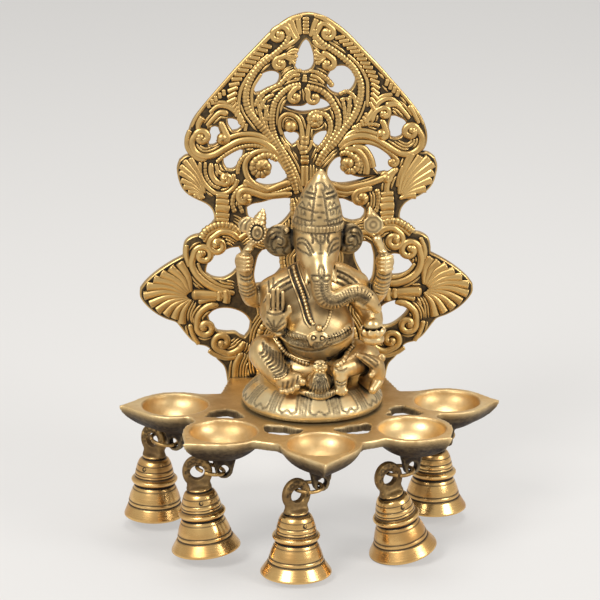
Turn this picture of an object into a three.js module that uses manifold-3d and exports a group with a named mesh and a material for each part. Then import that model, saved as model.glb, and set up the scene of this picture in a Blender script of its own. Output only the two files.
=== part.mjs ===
// Wall oil lamp of cast brass: a pierced back panel carries a tray of five oil cups,
// a seated figure on a lotus seat, and a bell on a ring under each cup.
// Millimetres, +Z up, +Y into the wall. The origin lies on the wall, in the middle,
// level with the top of the tray.
import * as THREE from 'three';
import { mergeVertices } from 'three/addons/utils/BufferGeometryUtils.js';
import Module from 'manifold-3d';

const wasm = await Module();
wasm.setup();

// Driving sizes
const clearance = 0.3;
const panelThickness = 5.5;
const panelFoot = -8.2;
const hub = { y: -48.5, radius: 42 };
const plateThickness = 4.5;
const tongueWidth = 82;
const lipDepth = 8;
const bowl = { radius: 17, depth: 11.5, rim: 4, floor: 3.5 };
const webInner = 53;
const webOuter = 67;
const wireRadius = 1;
const ringRadius = 7;
const lug = { holeRadius: 2.5, rootWidth: 14, endRadius: 4.6, thickness: 4, drop: 20.4 };
const loop = { holeRadius: 3.7, width: 15.5, arch: 4.9, thickness: 4.5 };
const bell = { height: 33, mouthRadius: 17.8, holeHeight: 41.2, crown: 2, pinDrop: 6 };
const pin = { radius: 0.9, reach: 8.4 };
const clapper = { eyeRadius: 2.2, eyeWire: 0.8, rodRadius: 0.8, ballRadius: 4, ballHeight: 6.2 };
const idolBolt = { radius: 2.5, length: 14, headWidth: 8, headHeight: 3.5 };
const washer = { radius: 7, thickness: 1 };
const panelScrew = { radius: 2, headRadius: 3.4, headHeight: 2.2, length: 12, x: 27, z: -3.9 };

// Each cup: its angle from the front, how far its bowl and tip reach, the plan direction
// in which its ring is folded and the angle through which it is raised from hanging straight,
// the lean of its bell, and the width of its arm
const cups = [
  { angle: -90, reach: 70.8, tip: 28.5, fold: 143, raise: 100, lean: 0, arm: 33 },
  { angle: -48, reach: 64, tip: 30, fold: 180, raise: 101, lean: 6, arm: 16 },
  { angle: 0, reach: 64.3, tip: 34, fold: 205, raise: 88, lean: 0, arm: 16 },
  { angle: 48, reach: 64, tip: 27, fold: 205, raise: 88, lean: 13, arm: 16 },
  { angle: 89, reach: 70, tip: 27, fold: 112, raise: 100, lean: 0, arm: 33 },
];

const radians = THREE.MathUtils.degToRad;
const wireInLug = lug.drop + lug.holeRadius - wireRadius - clearance;
const wireInLoop = loop.holeRadius - wireRadius - clearance;
const pivotHeight = bell.holeHeight + wireInLoop;
const pinHeight = bell.height - bell.pinDrop;

// Closed solids from three.js geometry
function solidOf(geometry) {
  geometry.deleteAttribute('normal');
  geometry.deleteAttribute('uv');
  const merged = mergeVertices(geometry, 1e-4);
  const corners = merged.index.array;
  const kept = [];
  for (let i = 0; i < corners.length; i += 3) {
    const [a, b, c] = corners.slice(i, i + 3);
    if (a !== b && b !== c && c !== a) kept.push(a, b, c);
  }
  const build = (triangles) => new wasm.Manifold(new wasm.Mesh({
    numProp: 3,
    vertProperties: new Float32Array(merged.attributes.position.array),
    triVerts: new Uint32Array(triangles),
  }));
  const solid = build(kept);
  return solid.volume() > 0 ? solid : build(kept.reverse());
}

function fuse(solids) {
  return solids.reduce((whole, next) => whole.add(next));
}

function meshOf(name, solid, material) {
  const { vertProperties, triVerts } = solid.getMesh();
  const geometry = new THREE.BufferGeometry();
  geometry.setAttribute('position', new THREE.BufferAttribute(vertProperties, 3));
  geometry.setIndex(new THREE.BufferAttribute(triVerts, 1));
  geometry.computeVertexNormals();
  const mesh = new THREE.Mesh(geometry, material);
  mesh.name = name;
  return mesh;
}

// A plate drawn upright in X and Z, its front face thickness in front of y
function uprightPlate(shape, thickness, y = 0, curveSegments = 6) {
  const geometry = new THREE.ExtrudeGeometry(shape, { depth: thickness, bevelEnabled: false, curveSegments });
  return geometry.rotateX(Math.PI / 2).translate(0, y, 0);
}

// A plate drawn in plan, its top face at height top
function flatPlate(shape, thickness, top = 0, curveSegments = 24) {
  const geometry = new THREE.ExtrudeGeometry(shape, { depth: thickness, bevelEnabled: false, curveSegments });
  return geometry.translate(0, 0, top - thickness);
}

function turned(profile, segments) {
  const points = profile.map(([radius, height]) => new THREE.Vector2(radius, height));
  return new THREE.LatheGeometry(points, segments).rotateX(Math.PI / 2);
}

function rod(radius, from, to, segments = 12) {
  return turned([[0, from], [radius, from], [radius, to], [0, to]], segments);
}

function blob([x, y, z], [a, b, c]) {
  return solidOf(new THREE.SphereGeometry(1, 10, 6).scale(a, b, c).translate(x, y, z));
}

// A round limb through points, with a radius at each and rounded ends
function limb(points, radii, sides = 6) {
  const curve = new THREE.CatmullRomCurve3(points.map((point) => new THREE.Vector3(...point)));
  const steps = Math.ceil(points.length * 1.5);
  const frames = curve.computeFrenetFrames(steps);
  const rings = [];
  const addRing = (center, radius, step) => {
    rings.push(Array.from({ length: sides }, (_, side) => {
      const turn = (side / sides) * 2 * Math.PI;
      return center.clone()
        .addScaledVector(frames.normals[step], radius * Math.cos(turn))
        .addScaledVector(frames.binormals[step], radius * Math.sin(turn));
    }));
  };
  const first = curve.getPoint(0);
  const last = curve.getPoint(1);
  const endRadius = radii[radii.length - 1];
  const ahead = (center, distance, step) => center.clone().addScaledVector(frames.tangents[step], distance);
  addRing(ahead(first, -0.6 * radii[0], 0), 0.75 * radii[0], 0);
  for (let step = 0; step <= steps; step += 1) {
    const place = (step / steps) * (radii.length - 1);
    const index = Math.min(Math.floor(place), radii.length - 2);
    const radius = THREE.MathUtils.lerp(radii[index], radii[index + 1], place - index);
    addRing(curve.getPoint(step / steps), radius, step);
  }
  addRing(ahead(last, 0.6 * endRadius, steps), 0.75 * endRadius, steps);
  return loft(rings, ahead(first, -0.95 * radii[0], 0), ahead(last, 0.95 * endRadius, steps));
}

// A closed solid through rings of equally many points, with a point at each end
function loft(rings, start, end) {
  const count = rings[0].length;
  const points = [start, ...rings.flat(), end];
  const faces = [];
  for (let i = 0; i < count; i += 1) {
    const j = (i + 1) % count;
    faces.push(0, 1 + j, 1 + i);
    for (let ring = 0; ring < rings.length - 1; ring += 1) {
      const low = 1 + ring * count;
      const high = low + count;
      faces.push(low + i, low + j, high + j, low + i, high + j, high + i);
    }
    const top = 1 + (rings.length - 1) * count;
    faces.push(top + i, top + j, points.length - 1);
  }
  const geometry = new THREE.BufferGeometry().setFromPoints(points);
  geometry.setIndex(faces);
  return solidOf(geometry);
}

function closedSpline(points, detail = 2) {
  const curve = new THREE.CatmullRomCurve3(points.map(([x, z]) => new THREE.Vector3(x, z, 0)), true);
  return curve.getPoints(points.length * detail).slice(0, -1).map((p) => new THREE.Vector2(p.x, p.y));
}

// Back panel: half of the outline from the crown down to the foot, in stretches
const panelEdge = [
  [[0, 195.8], [9, 193.5], [18, 186.7], [36, 168], [50, 152], [59, 141], [62.5, 131], [61.5, 124], [58.8, 121.6]],
  [[58.8, 121.6], [65, 120.5], [68, 114.5], [65.8, 104.4], [60.6, 99.1], [52.3, 94.7], [49.2, 90.4], [48.7, 86.1]],
  [[48.7, 86.1], [54.6, 79.5], [60.9, 77.4], [64.6, 73.6], [65.2, 67]],
  [[65.2, 67], [75, 61.5], [84.3, 53.9], [88.3, 47.3], [84.5, 40.1], [77.2, 34.1], [69.3, 30.8]],
  [[69.3, 30.8], [66, 27], [62, 21.5], [57, 18], [51.5, 16.3], [48, 10.5], [43.6, 5.5], [42.6, 0.2], [41, panelFoot]],
];

// Windows through the panel, from the crown down
const nailWindow = [[-1, 182], [1.5, 178], [3, 170], [1, 166], [-4.5, 165.5], [-6.5, 168.5], [-4, 178]];
const panelWindows = [
  nailWindow,
  [[-19.5, 165.5], [-15, 164], [-16, 159], [-21, 156.5], [-27, 154], [-28, 158], [-25, 163]],
  [[12.5, 166.5], [19.5, 167.5], [24.5, 161], [22, 155], [16, 153], [10, 157]],
  [[-12.5, 147], [-2.5, 147], [4.5, 151.5], [12, 146.5], [4, 144.5], [-4, 143.8]],
  [[-12.5, 133], [-5.5, 132.5], [-4.5, 129.5], [-8, 126]],
  [[4, 131.5], [9.5, 133.5], [10.5, 129.5], [6, 125.2], [3, 127.5]],
  [[-41.5, 140.5], [-36.5, 139.5], [-34.5, 136], [-39, 134]],
  [[-50, 136], [-46.5, 136], [-46, 128.5], [-51, 126.5]],
  [[43.5, 141], [48, 140], [51.5, 137], [48.5, 130], [43.5, 129.8]],
  [[-43.5, 121], [-39, 124], [-33.5, 123.5], [-37.5, 114.5], [-42, 113.8]],
  [[-20, 119.5], [-15.5, 117.5], [-10, 108.5], [-20, 104.5], [-27.5, 107], [-22, 111.5]],
  [[29.5, 125.5], [36, 125], [42.5, 119.5], [46, 113], [37, 110.5], [33, 118]],
  [[13, 117], [17, 119.5], [20, 111.5], [28, 108.3], [33.5, 108.8], [22.5, 105.5], [12.5, 106], [10.5, 111.5]],
  [[-31.5, 93], [-24, 95.5], [-9, 97.5], [-8.5, 90.5], [-18.5, 81], [-27, 82.5]],
  [[16.5, 97], [22.5, 95.3], [30, 91], [28, 85.5], [19.5, 86]],
  [[-45.5, 68.5], [-36, 71.5], [-35, 65], [-38.5, 58], [-45, 54.5], [-53, 57.5], [-50.5, 65]],
  [[-26.5, 63.5], [-23.5, 69.5], [-16, 69.5], [-13, 62], [-19, 54], [-27, 51]],
  [[43.5, 66], [49, 66], [56, 60], [51, 55.5], [42, 56]],
  [[25, 67], [28.5, 73.5], [33.5, 72], [35, 58], [33, 51], [28.5, 57.5]],
  [[-52, 34], [-46, 38], [-36, 36.5], [-30, 30.5], [-33, 22], [-38, 24.8], [-47, 25.5]],
  [[37, 32], [41, 38.8], [50, 41], [54.5, 37.5], [46.5, 28.5], [39.5, 27]],
];

// Mouldings raised on the panel's front: half the width at both ends, then the points of the line.
// A scroll goes on from there by its turns and first radius, to the left (1) or the right (-1)
const reliefHeight = 0.9;
const mouldings = [
  // Stems and scrolls of the upper tier, left and right
  [2, 1.3, [
    [-5.5, 100], [-9.5, 113], [-19.5, 131], [-31, 146], [-31.5, 157], [-25, 168.5], [-13, 178.5], [-9.5, 187],
  ]],
  [1.6, 1.3, [[-5, 106], [-12.5, 122.5], [-18.5, 136.5], [-17, 149.5], [-8.5, 157.5], [-3.5, 158.5]]],
  [1.9, 1.3, [[4.5, 115.5], [14, 127.5], [23, 140], [27.5, 153.5], [23.5, 167], [12, 177], [3.5, 187]]],
  [1.6, 1.4, [[5, 115], [11.5, 127], [16, 138.5], [13.5, 147.5], [6, 155.5], [-1, 157.5]]],
  [1.8, 1.6, [[-1.5, 104], [-1.5, 131]]],
  [1.8, 1.8, [[-2.5, 127], [-3.5, 136], [-11, 143]], [0.8, 3, 1]],
  [1.2, 1.4, [[4.5, 122.5], [11.5, 133], [5.8, 143.5]], [1.1, 3.3, 1]],
  [2.3, 1.5, [[-20.5, 180], [-35, 164.5], [-39.5, 150], [-31, 134.5]]],
  [2.1, 1.4, [[15.5, 184], [28, 171.5], [34.8, 158.5], [32.5, 144.5], [24, 133]]],
  [1.5, 0.8, [[-33.5, 137], [-41, 147], [-51, 144]]],
  [1.5, 0.8, [[29, 137], [37.5, 149], [49, 146]]],
  [1.4, 1.2, [[-14, 120], [-28, 129.3], [-42, 125.5], [-54, 121], [-60.2, 128.5], [-58, 132.8]], [0.9, 2.7, -1]],
  [1.4, 1.2, [[16, 125], [27.5, 131], [41, 125.5], [54, 121], [59.6, 129.5], [57, 134.5]], [1, 2.9, 1]],
  [1.1, 0.9, [[-18, 127], [-33, 132.6], [-44, 128]]],
  [1.1, 0.9, [[18, 127.3], [29, 133.8], [40.5, 130]]],
  [1, 0.9, [[-13, 116], [-23.5, 125.6], [-37, 124.8], [-47.5, 117.5]]],
  [1, 0.9, [[16.5, 123.3], [30.5, 127.6], [46.3, 118.3]]],
  [1.1, 1.3, [[-10, 111], [-19.5, 123.2], [-30, 120.8], [-31.3, 110], [-21, 102.3]]],
  [1.4, 1.8, [[-15.5, 118], [-22.5, 121], [-26, 119.3]], [1, 4.2, 1]],
  [1.3, 1.8, [[16.5, 121], [20, 122], [24, 119.8]], [0.9, 4, -1]],
  [1.4, 1.5, [[19, 123.6], [29, 119.6], [30.5, 110]]],
  [1, 1, [[-56, 118], [-53, 105.5], [-42.5, 101], [-36.3, 108.5]]],
  [1.2, 1.2, [[-50.3, 117.5], [-47.3, 107.2], [-43.5, 106]], [0.8, 2, 1]],
  [1.5, 1.3, [[-8, 106.8], [-21, 102.3], [-33.5, 107.5]]],
  [1.5, 1.3, [[12.5, 104.8], [27.5, 104.2], [46, 112.5]]],
  [1.2, 1.1, [[-24, 103], [-34.5, 104], [-37.8, 90.5]]],
  [1.2, 1.1, [[36, 102.5], [37, 93], [35.5, 89.5]]],
  [1.4, 1.6, [[-8, 100.3], [-22, 99.3], [-31.5, 102.3]], [0.8, 2.8, 1]],
  [1.3, 1.6, [[34, 103], [27, 101.3]], [0.8, 2.8, 1]],
  [1.2, 1.2, [[-10.5, 184.5], [-14, 189], [-17, 187.5]], [0.8, 2.6, 1]],
  [1.1, 1.2, [[4.5, 186.5], [9, 190.2], [12, 188]], [0.9, 2.7, -1]],
];
const pairedMouldings = [
  // Rim and neck, then the lower tier, drawn on the right and mirrored
  [1.3, 1.2, [[8.5, 191.8], [27, 175.8], [43, 158.3], [56.5, 142.3], [60.5, 135.5]]],
  [1.8, 1.8, [[39, 95], [46.5, 94.5]]],
  [1.6, 1.8, [[35.5, 78.7], [46, 84.4], [55.5, 77.5]]],
  [1.4, 1.4, [[36, 76], [45, 80.4], [49, 77.6]], [1.1, 3.9, -1]],
  [1.7, 1.3, [[39, 48.5], [52.5, 52.3], [60.4, 62.8], [59.2, 68.9]], [1.1, 4.1, 1]],
  [2.2, 1.8, [[61, 46], [42, 45]]],
  [1.5, 1.3, [[46.5, 40.5], [57.3, 34.5], [58, 28.5]], [1, 3.7, -1]],
  [1.5, 1.3, [[33, 20], [41.5, 13.2], [46.5, 15.3]], [1, 3.9, 1]],
  [1.4, 1.6, [[34.5, 14], [37.5, 7], [38, 1.5]]],
  [1.4, 1.2, [[8, 98], [9, 74], [12, 55], [15, 44]]],
  [1.5, 1.5, [[22, 46], [24, 24], [25, 1.5]]],
];
// Shell fans: where the ribs meet, the curved edge that they spread to, and their number
const shells = [
  [[-52.5, 99], [[-58.5, 117.5], [-66, 117.5], [-66.3, 106], [-58, 96.8]], 7],
  [[47, 96.5], [[51, 118.5], [65.5, 119.5], [64, 107.5], [53.5, 97]], 7],
  [[-60.2, 45.5], [[-64.5, 64], [-80.5, 54.5], [-86, 44], [-77.5, 34.5], [-63.5, 28.5]], 9],
  [[61, 47.5], [[63.5, 68], [78, 59.5], [86.3, 48.5], [79.5, 37.3], [65, 31.5]], 9],
];
const shellRib = { root: 0.7, tip: 1.5, from: 0.15, to: 0.97 };

// One moulding as a thin solid: its line, wound up at the end where it is a scroll, with a width
function moulding([from, to, line, scroll]) {
  const curve = new THREE.SplineCurve(line.map(([x, z]) => new THREE.Vector2(x, z)));
  const centres = line.length > 2 ? curve.getPoints(2 * line.length - 1) : curve.getPoints(1);
  if (scroll) {
    const [turns, radius, side] = scroll;
    const steps = Math.ceil(turns * 11);
    let heading = centres.at(-1).clone().sub(centres.at(-2)).angle();
    for (let step = 0; step < steps; step += 1) {
      const bend = radius * (1 - step / steps) ** 0.8 + 0.45 * to;
      const angle = (2 * Math.PI * turns) / steps;
      heading += side * angle;
      const ahead = new THREE.Vector2(Math.cos(heading), Math.sin(heading));
      centres.push(centres.at(-1).clone().addScaledVector(ahead, bend * angle));
    }
  }
  const last = centres.length - 1;
  const edge = (side) => centres.map((centre, i) => {
    const ahead = centres[Math.min(i + 1, last)].clone().sub(centres[Math.max(i - 1, 0)]).normalize();
    const width = side * THREE.MathUtils.lerp(from, to, i / last);
    return new THREE.Vector2(centre.x - ahead.y * width, centre.y + ahead.x * width);
  });
  const shape = new THREE.Shape([...edge(1), ...edge(-1).reverse()]);
  return solidOf(uprightPlate(shape, panelThickness / 2 + reliefHeight, -panelThickness / 2));
}

function mirroredMoulding([from, to, line, scroll]) {
  const flipped = scroll && [scroll[0], scroll[1], -scroll[2]];
  return moulding([from, to, line.map(([x, z]) => [-x, z]), flipped]);
}

function shellRibs([foot, edge, count]) {
  const start = new THREE.Vector2(...foot);
  const curve = new THREE.SplineCurve(edge.map(([x, z]) => new THREE.Vector2(x, z)));
  return Array.from({ length: count }, (_, i) => {
    const end = curve.getPointAt((i + 0.5) / count);
    const line = [shellRib.from, shellRib.to].map((share) => start.clone().lerp(end, share).toArray());
    return moulding([shellRib.root, shellRib.tip, line]);
  });
}

function backPanel() {
  const half = panelEdge.flatMap((stretch) => {
    const curve = new THREE.SplineCurve(stretch.map(([x, z]) => new THREE.Vector2(x, z)));
    return curve.getPoints(stretch.length + 2).slice(0, -1);
  });
  half.push(new THREE.Vector2(...panelEdge.at(-1).at(-1)));
  const mirrored = half.slice(1).reverse().map((point) => new THREE.Vector2(-point.x, point.y));
  const outline = new THREE.Shape([...half, ...mirrored]);
  const cutters = panelWindows.map((window) => {
    const shape = new THREE.Shape(closedSpline(window));
    return solidOf(uprightPlate(shape, panelThickness + 4, 1));
  });
  const plate = solidOf(uprightPlate(outline, panelThickness));
  const relief = [
    ...mouldings.map(moulding),
    ...pairedMouldings.flatMap((pair) => [moulding(pair), mirroredMoulding(pair)]),
    ...shells.flatMap(shellRibs),
  ];
  const raised = fuse(relief).intersect(solidOf(uprightPlate(outline, panelThickness + 2 * reliefHeight)));
  return [...cutters, ...panelScrewHoles()].reduce((whole, cutter) => whole.subtract(cutter), plate.add(raised));
}

// A countersunk screw along -Y, grown by the given margin to make its hole
function panelScrewProfile(margin) {
  const head = panelScrew.headRadius + margin;
  const shank = panelScrew.radius + margin;
  const start = margin ? -1 : clearance;
  const end = panelScrew.length + margin;
  return [[0, start], [head, start], [head, 2 * clearance], [shank, panelScrew.headHeight], [shank, end], [0, end]];
}

function panelScrewHoles() {
  return [-1, 1].map((side) => {
    const hole = turned(panelScrewProfile(clearance), 14).rotateX(Math.PI / 2);
    return solidOf(hole.translate(side * panelScrew.x, 0, panelScrew.z));
  });
}

// Tray: places in plan, measured from the hub
function cupPlace(cup) {
  const turn = radians(cup.angle);
  return new THREE.Vector2(cup.reach * Math.sin(turn), hub.y - cup.reach * Math.cos(turn));
}

function leafOutline(tip) {
  const radius = bowl.radius + bowl.rim;
  const turn = radians(52);
  const shape = new THREE.Shape();
  const side = new THREE.Vector2(radius * Math.cos(turn), radius * Math.sin(turn));
  const along = new THREE.Vector2(Math.sin(turn), -Math.cos(turn)).multiplyScalar(0.35 * tip);
  shape.moveTo(side.x, side.y);
  shape.absarc(0, 0, radius, turn, -turn, false);
  shape.bezierCurveTo(side.x + along.x, -side.y - along.y, tip - 5, -2.2, tip, 0);
  shape.bezierCurveTo(tip - 5, 2.2, side.x + along.x, side.y + along.y, side.x, side.y);
  return shape;
}

// A cup without its bowl: the leaf outline drawn in towards the bowl as it goes down
function cupHull(cup) {
  const outline = leafOutline(cup.tip).getSpacedPoints(26).slice(0, -1);
  const depth = bowl.depth + bowl.floor;
  const levels = [[0, 1], [0.16, 0.98], [0.5, 0.77], [0.85, 0.42]];
  const rings = levels.map(([level, scale]) => outline.map((point) => (
    new THREE.Vector3(point.x * scale, point.y * scale, -level * depth)
  )));
  return loft(rings, new THREE.Vector3(0, 0, 0), new THREE.Vector3(0, 0, -depth));
}

function bowlCutter() {
  const profile = [[0, 1], [bowl.radius, 1], [bowl.radius, 0]];
  for (let step = 1; step <= 4; step += 1) {
    const turn = (step / 4) * (Math.PI / 2);
    profile.push([bowl.radius * Math.cos(turn), -bowl.depth * Math.sin(turn)]);
  }
  profile.at(-1)[0] = 0;
  return solidOf(turned(profile, 22));
}

function lugSolid() {
  const shape = new THREE.Shape();
  const root = -bowl.depth - bowl.floor + 4;
  shape.moveTo(lug.rootWidth / 2, root);
  shape.lineTo(-lug.rootWidth / 2, root);
  shape.lineTo(-lug.endRadius, -lug.drop);
  shape.absarc(0, -lug.drop, lug.endRadius, Math.PI, 2 * Math.PI, false);
  shape.holes = [new THREE.Path().absarc(0, -lug.drop, lug.holeRadius, 0, 2 * Math.PI, true)];
  return solidOf(uprightPlate(shape, lug.thickness, lug.thickness / 2));
}

function webBetween(cup, next) {
  const from = radians(cup.angle - 90);
  const to = radians(next.angle - 90);
  const shape = new THREE.Shape();
  shape.absarc(0, 0, webOuter, from, to, false);
  shape.absarc(0, 0, webInner, to, from, true);
  return solidOf(flatPlate(shape, plateThickness, 0, 10)).translate([0, hub.y, 0]);
}

function lampTray() {
  const disc = solidOf(flatPlate(new THREE.Shape().absarc(0, 0, hub.radius, 0, 2 * Math.PI), plateThickness));
  const pieces = [disc.translate([0, hub.y, 0])];
  const back = -panelThickness - clearance;
  const tongue = new THREE.Shape([
    new THREE.Vector2(-tongueWidth / 2 - 6, hub.y + 16),
    new THREE.Vector2(tongueWidth / 2 + 6, hub.y + 16),
    new THREE.Vector2(tongueWidth / 2, back),
    new THREE.Vector2(-tongueWidth / 2, back),
  ]);
  pieces.push(solidOf(flatPlate(tongue, plateThickness)));
  const lip = new THREE.BoxGeometry(tongueWidth, lipDepth, -panelFoot);
  pieces.push(solidOf(lip.translate(0, back - lipDepth / 2, panelFoot / 2)));
  cups.forEach((cup, index) => {
    const place = cupPlace(cup);
    const arm = new THREE.BoxGeometry(cup.reach, cup.arm, plateThickness)
      .translate(-cup.reach / 2, 0, -plateThickness / 2);
    const leaf = cupHull(cup).add(solidOf(arm)).rotate([0, 0, cup.angle - 90]);
    const hanger = lugSolid().rotate([0, 0, cup.fold]);
    pieces.push(leaf.add(hanger).translate([place.x, place.y, 0]));
    if (index < cups.length - 1) pieces.push(webBetween(cup, cups[index + 1]));
  });
  const cutters = cups.map((cup) => {
    const place = cupPlace(cup);
    return bowlCutter().translate([place.x, place.y, 0]);
  });
  const boltHole = solidOf(rod(idolBolt.radius + clearance, -plateThickness - 1, 1, 16));
  cutters.push(boltHole.translate([0, hub.y, 0]), ...panelScrewHoles());
  return cutters.reduce((whole, cutter) => whole.subtract(cutter), fuse(pieces));
}

// The seated figure and its round lotus seat, one casting, with the seat's middle at the origin
function seatSolid() {
  return solidOf(turned([
    [0, 0], [33, 0], [36, 2.5], [36.5, 5], [34.5, 9], [30, 11.8], [24, 12.8], [0, 12.8],
  ], 36));
}

function crownSolid() {
  const crown = turned([
    [0, -3], [12.4, -3], [12.8, 1], [12, 7], [11.6, 13], [10, 17.5], [8.4, 18.5],
    [7.8, 21], [5.2, 27], [2.4, 31.5], [2, 33], [0, 34.5],
  ], 18);
  return solidOf(crown.translate(1.6, -6, 93));
}

// A flat round emblem facing the front, on a short stem, with a knob above
function emblem([x, y, z], sides, hand) {
  const disc = turned([[0, 0], [5.4, 0], [6.4, 0.8], [6.4, 2.4], [5.4, 3.2], [0, 3.2]], sides);
  return fuse([
    solidOf(disc.rotateX(Math.PI / 2).translate(x, y, z)),
    limb([hand, [x, y - 1.6, z - 4]], [2.6, 2.4]),
    limb([[x + 0.5, y - 1.6, z + 3], [x + 1, y - 1.6, z + 9]], [3.6, 1.2]),
  ]);
}

function idol() {
  const parts = [
    seatSolid(),
    crownSolid(),
    blob([0, -2, 21], [25, 18, 10]),
    blob([1.4, -8, 42], [20, 17, 20]),
    blob([0, -2, 62], [21, 12, 15]),
    blob([1.5, -8, 85], [13.5, 12.5, 13]),
    blob([-17.5, -4, 87], [9, 3.5, 10]),
    blob([20.5, -4, 87], [9, 3.5, 10]),
    limb([[-23, 0, 70], [0, 1, 73], [22, 0, 71]], [7.5, 8, 7.5]),
    limb([[1.5, -17, 84], [1.5, -22, 72], [3, -24, 61], [8, -26, 55.5], [17, -27, 55.5], [27, -27, 57],
      [35, -26, 50]], [8, 7, 5.8, 4.8, 4.4, 4.2, 3]),
    limb([[-8, 2, 25], [-20, -5, 27], [-29, -11, 28]], [10, 10, 9.5]),
    limb([[-29, -12, 25], [-20, -22, 20], [-9, -27, 17.5]], [8.5, 6.5, 4.8]),
    limb([[8, 2, 25], [20, -5, 26], [30, -10, 24]], [10, 10, 8.5]),
    limb([[29, -11, 22], [22, -22, 20], [14, -26, 17.5]], [8, 6.5, 5.2]),
    limb([[-22, 2, 70], [-31, 1, 58], [-35, -4, 66], [-36, -8, 79]], [6, 5.4, 4.4, 4.6]),
    limb([[22, 2, 70], [32, 1, 58], [36, -4, 66], [36, -8, 79]], [6, 5.4, 4.4, 4.6]),
    limb([[-20, -2, 66], [-27, -10, 54], [-20, -23, 53]], [6.5, 6, 4.5]),
    blob([-19.5, -25, 59], [6.2, 3.2, 11]),
    limb([[20, -2, 64], [30, -10, 50], [29, -23, 43]], [6.5, 6, 4.5]),
    blob([29.5, -26, 42], [6, 6, 4]),
    blob([29.5, -26, 47.5], [5, 5, 4.6]),
    blob([3, -22, 21], [5, 6, 5]),
    blob([3, -25, 15], [9, 5, 6]),
    limb([[30, -8, 16], [31, -16, 18], [31, -23, 22]], [5, 5.5, 3.4]),
    emblem([-28, -9.5, 97], 14, [-35, -9, 82]),
    emblem([29.5, -9.5, 98.5], 8, [35.5, -9, 82]),
  ];
  const hole = solidOf(rod(idolBolt.radius + clearance, -1, idolBolt.length - plateThickness, 16));
  return fuse(parts).subtract(hole);
}

// Fasteners
function hexBolt() {
  const head = new THREE.Shape(Array.from({ length: 6 }, (_, corner) => {
    const turn = (corner * Math.PI) / 3;
    const radius = idolBolt.headWidth / Math.sqrt(3);
    return new THREE.Vector2(radius * Math.cos(turn), radius * Math.sin(turn));
  }));
  const shank = rod(idolBolt.radius, -0.5, idolBolt.length, 14);
  return solidOf(flatPlate(head, idolBolt.headHeight)).add(solidOf(shank));
}

function flatWasher() {
  const shape = new THREE.Shape().absarc(0, 0, washer.radius, 0, 2 * Math.PI);
  shape.holes = [new THREE.Path().absarc(0, 0, idolBolt.radius + clearance, 0, 2 * Math.PI, true)];
  return solidOf(flatPlate(shape, washer.thickness, 0, 10));
}

// Bell: origin at the wire that it hangs from. Its heights are measured from the mouth
function bellSolid() {
  const mouth = bell.mouthRadius;
  const roof = bell.height - bell.crown;
  const inside = [
    [0, roof], [5, roof - 1.4], [7.4, roof - 5], [8.6, 21.5], [8.7, 18], [10.9, 10], [12.4, 5.5], [mouth - 1.9, 0],
  ];
  const outside = [
    [mouth, 0], [mouth, 0.8], [14.9, 5.6], [13.9, 7], [13.3, 10], [11.4, 14.4], [10.3, 17.6], [11.9, 18.6],
    [12, 20.6], [10.4, 22.2], [9.1, 27], [7.4, 31.6], [6.9, bell.height], [0, bell.height],
  ];
  const body = solidOf(turned([...inside, ...outside], 18).translate(0, 0, -pivotHeight));
  const center = -wireInLoop;
  const shape = new THREE.Shape();
  shape.absellipse(0, center, loop.width / 2, loop.holeRadius + loop.arch, radians(-32), radians(212), false);
  shape.lineTo(-6.2, bell.height - pivotHeight - 1);
  shape.lineTo(6.2, bell.height - pivotHeight - 1);
  shape.holes = [new THREE.Path().absarc(0, center, loop.holeRadius, 0, 2 * Math.PI, true)];
  const eye = solidOf(uprightPlate(shape, loop.thickness, loop.thickness / 2, 8));
  const pinHole = rod(pin.radius + clearance, -mouth, mouth, 10).rotateX(Math.PI / 2);
  return body.add(eye).subtract(solidOf(pinHole.translate(0, 0, pinHeight - pivotHeight)));
}

function clapperPin() {
  return solidOf(rod(pin.radius, -pin.reach, pin.reach, 10).rotateX(Math.PI / 2));
}

// Clapper: origin at the pin
function clapperSolid() {
  const { eyeRadius, eyeWire, rodRadius, ballRadius, ballHeight } = clapper;
  const eye = new THREE.TorusGeometry(eyeRadius, eyeWire, 6, 12).rotateX(Math.PI / 2);
  const ball = ballHeight - pinHeight;
  return fuse([
    solidOf(eye),
    solidOf(rod(rodRadius, ball, -eyeRadius, 8)),
    solidOf(new THREE.SphereGeometry(ballRadius, 12, 8).translate(0, 0, ball)),
  ]);
}

function ringSolid() {
  return solidOf(new THREE.TorusGeometry(ringRadius, wireRadius, 6, 20));
}

const brass = (color, roughness) => new THREE.MeshStandardMaterial({ color, metalness: 1, roughness });
const carvedBrass = brass(0xb98f45, 0.42);
const trayBrass = brass(0xb58a52, 0.38);
const bellBrass = brass(0xc49a4a, 0.3);
const darkBrass = brass(0x77644a, 0.5);

const lamp = new THREE.Group();
lamp.add(meshOf('back_panel', backPanel(), carvedBrass));
lamp.add(meshOf('lamp_tray', lampTray(), trayBrass));

const figure = meshOf('idol', idol(), carvedBrass);
figure.position.set(0, hub.y, clearance);
lamp.add(figure);

const seatWasher = meshOf('idol_washer', flatWasher(), darkBrass);
seatWasher.position.set(0, hub.y, -plateThickness - clearance);
lamp.add(seatWasher);

const bolt = meshOf('idol_bolt', hexBolt(), darkBrass);
bolt.position.set(0, hub.y, -plateThickness - washer.thickness - 2 * clearance);
lamp.add(bolt);

[['left', -1], ['right', 1]].forEach(([side, sign]) => {
  const screw = meshOf(`panel_screw_${side}`, solidOf(turned(panelScrewProfile(0), 12)), darkBrass);
  screw.rotation.x = Math.PI / 2;
  screw.position.set(sign * panelScrew.x, 0, panelScrew.z);
  lamp.add(screw);
});

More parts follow.
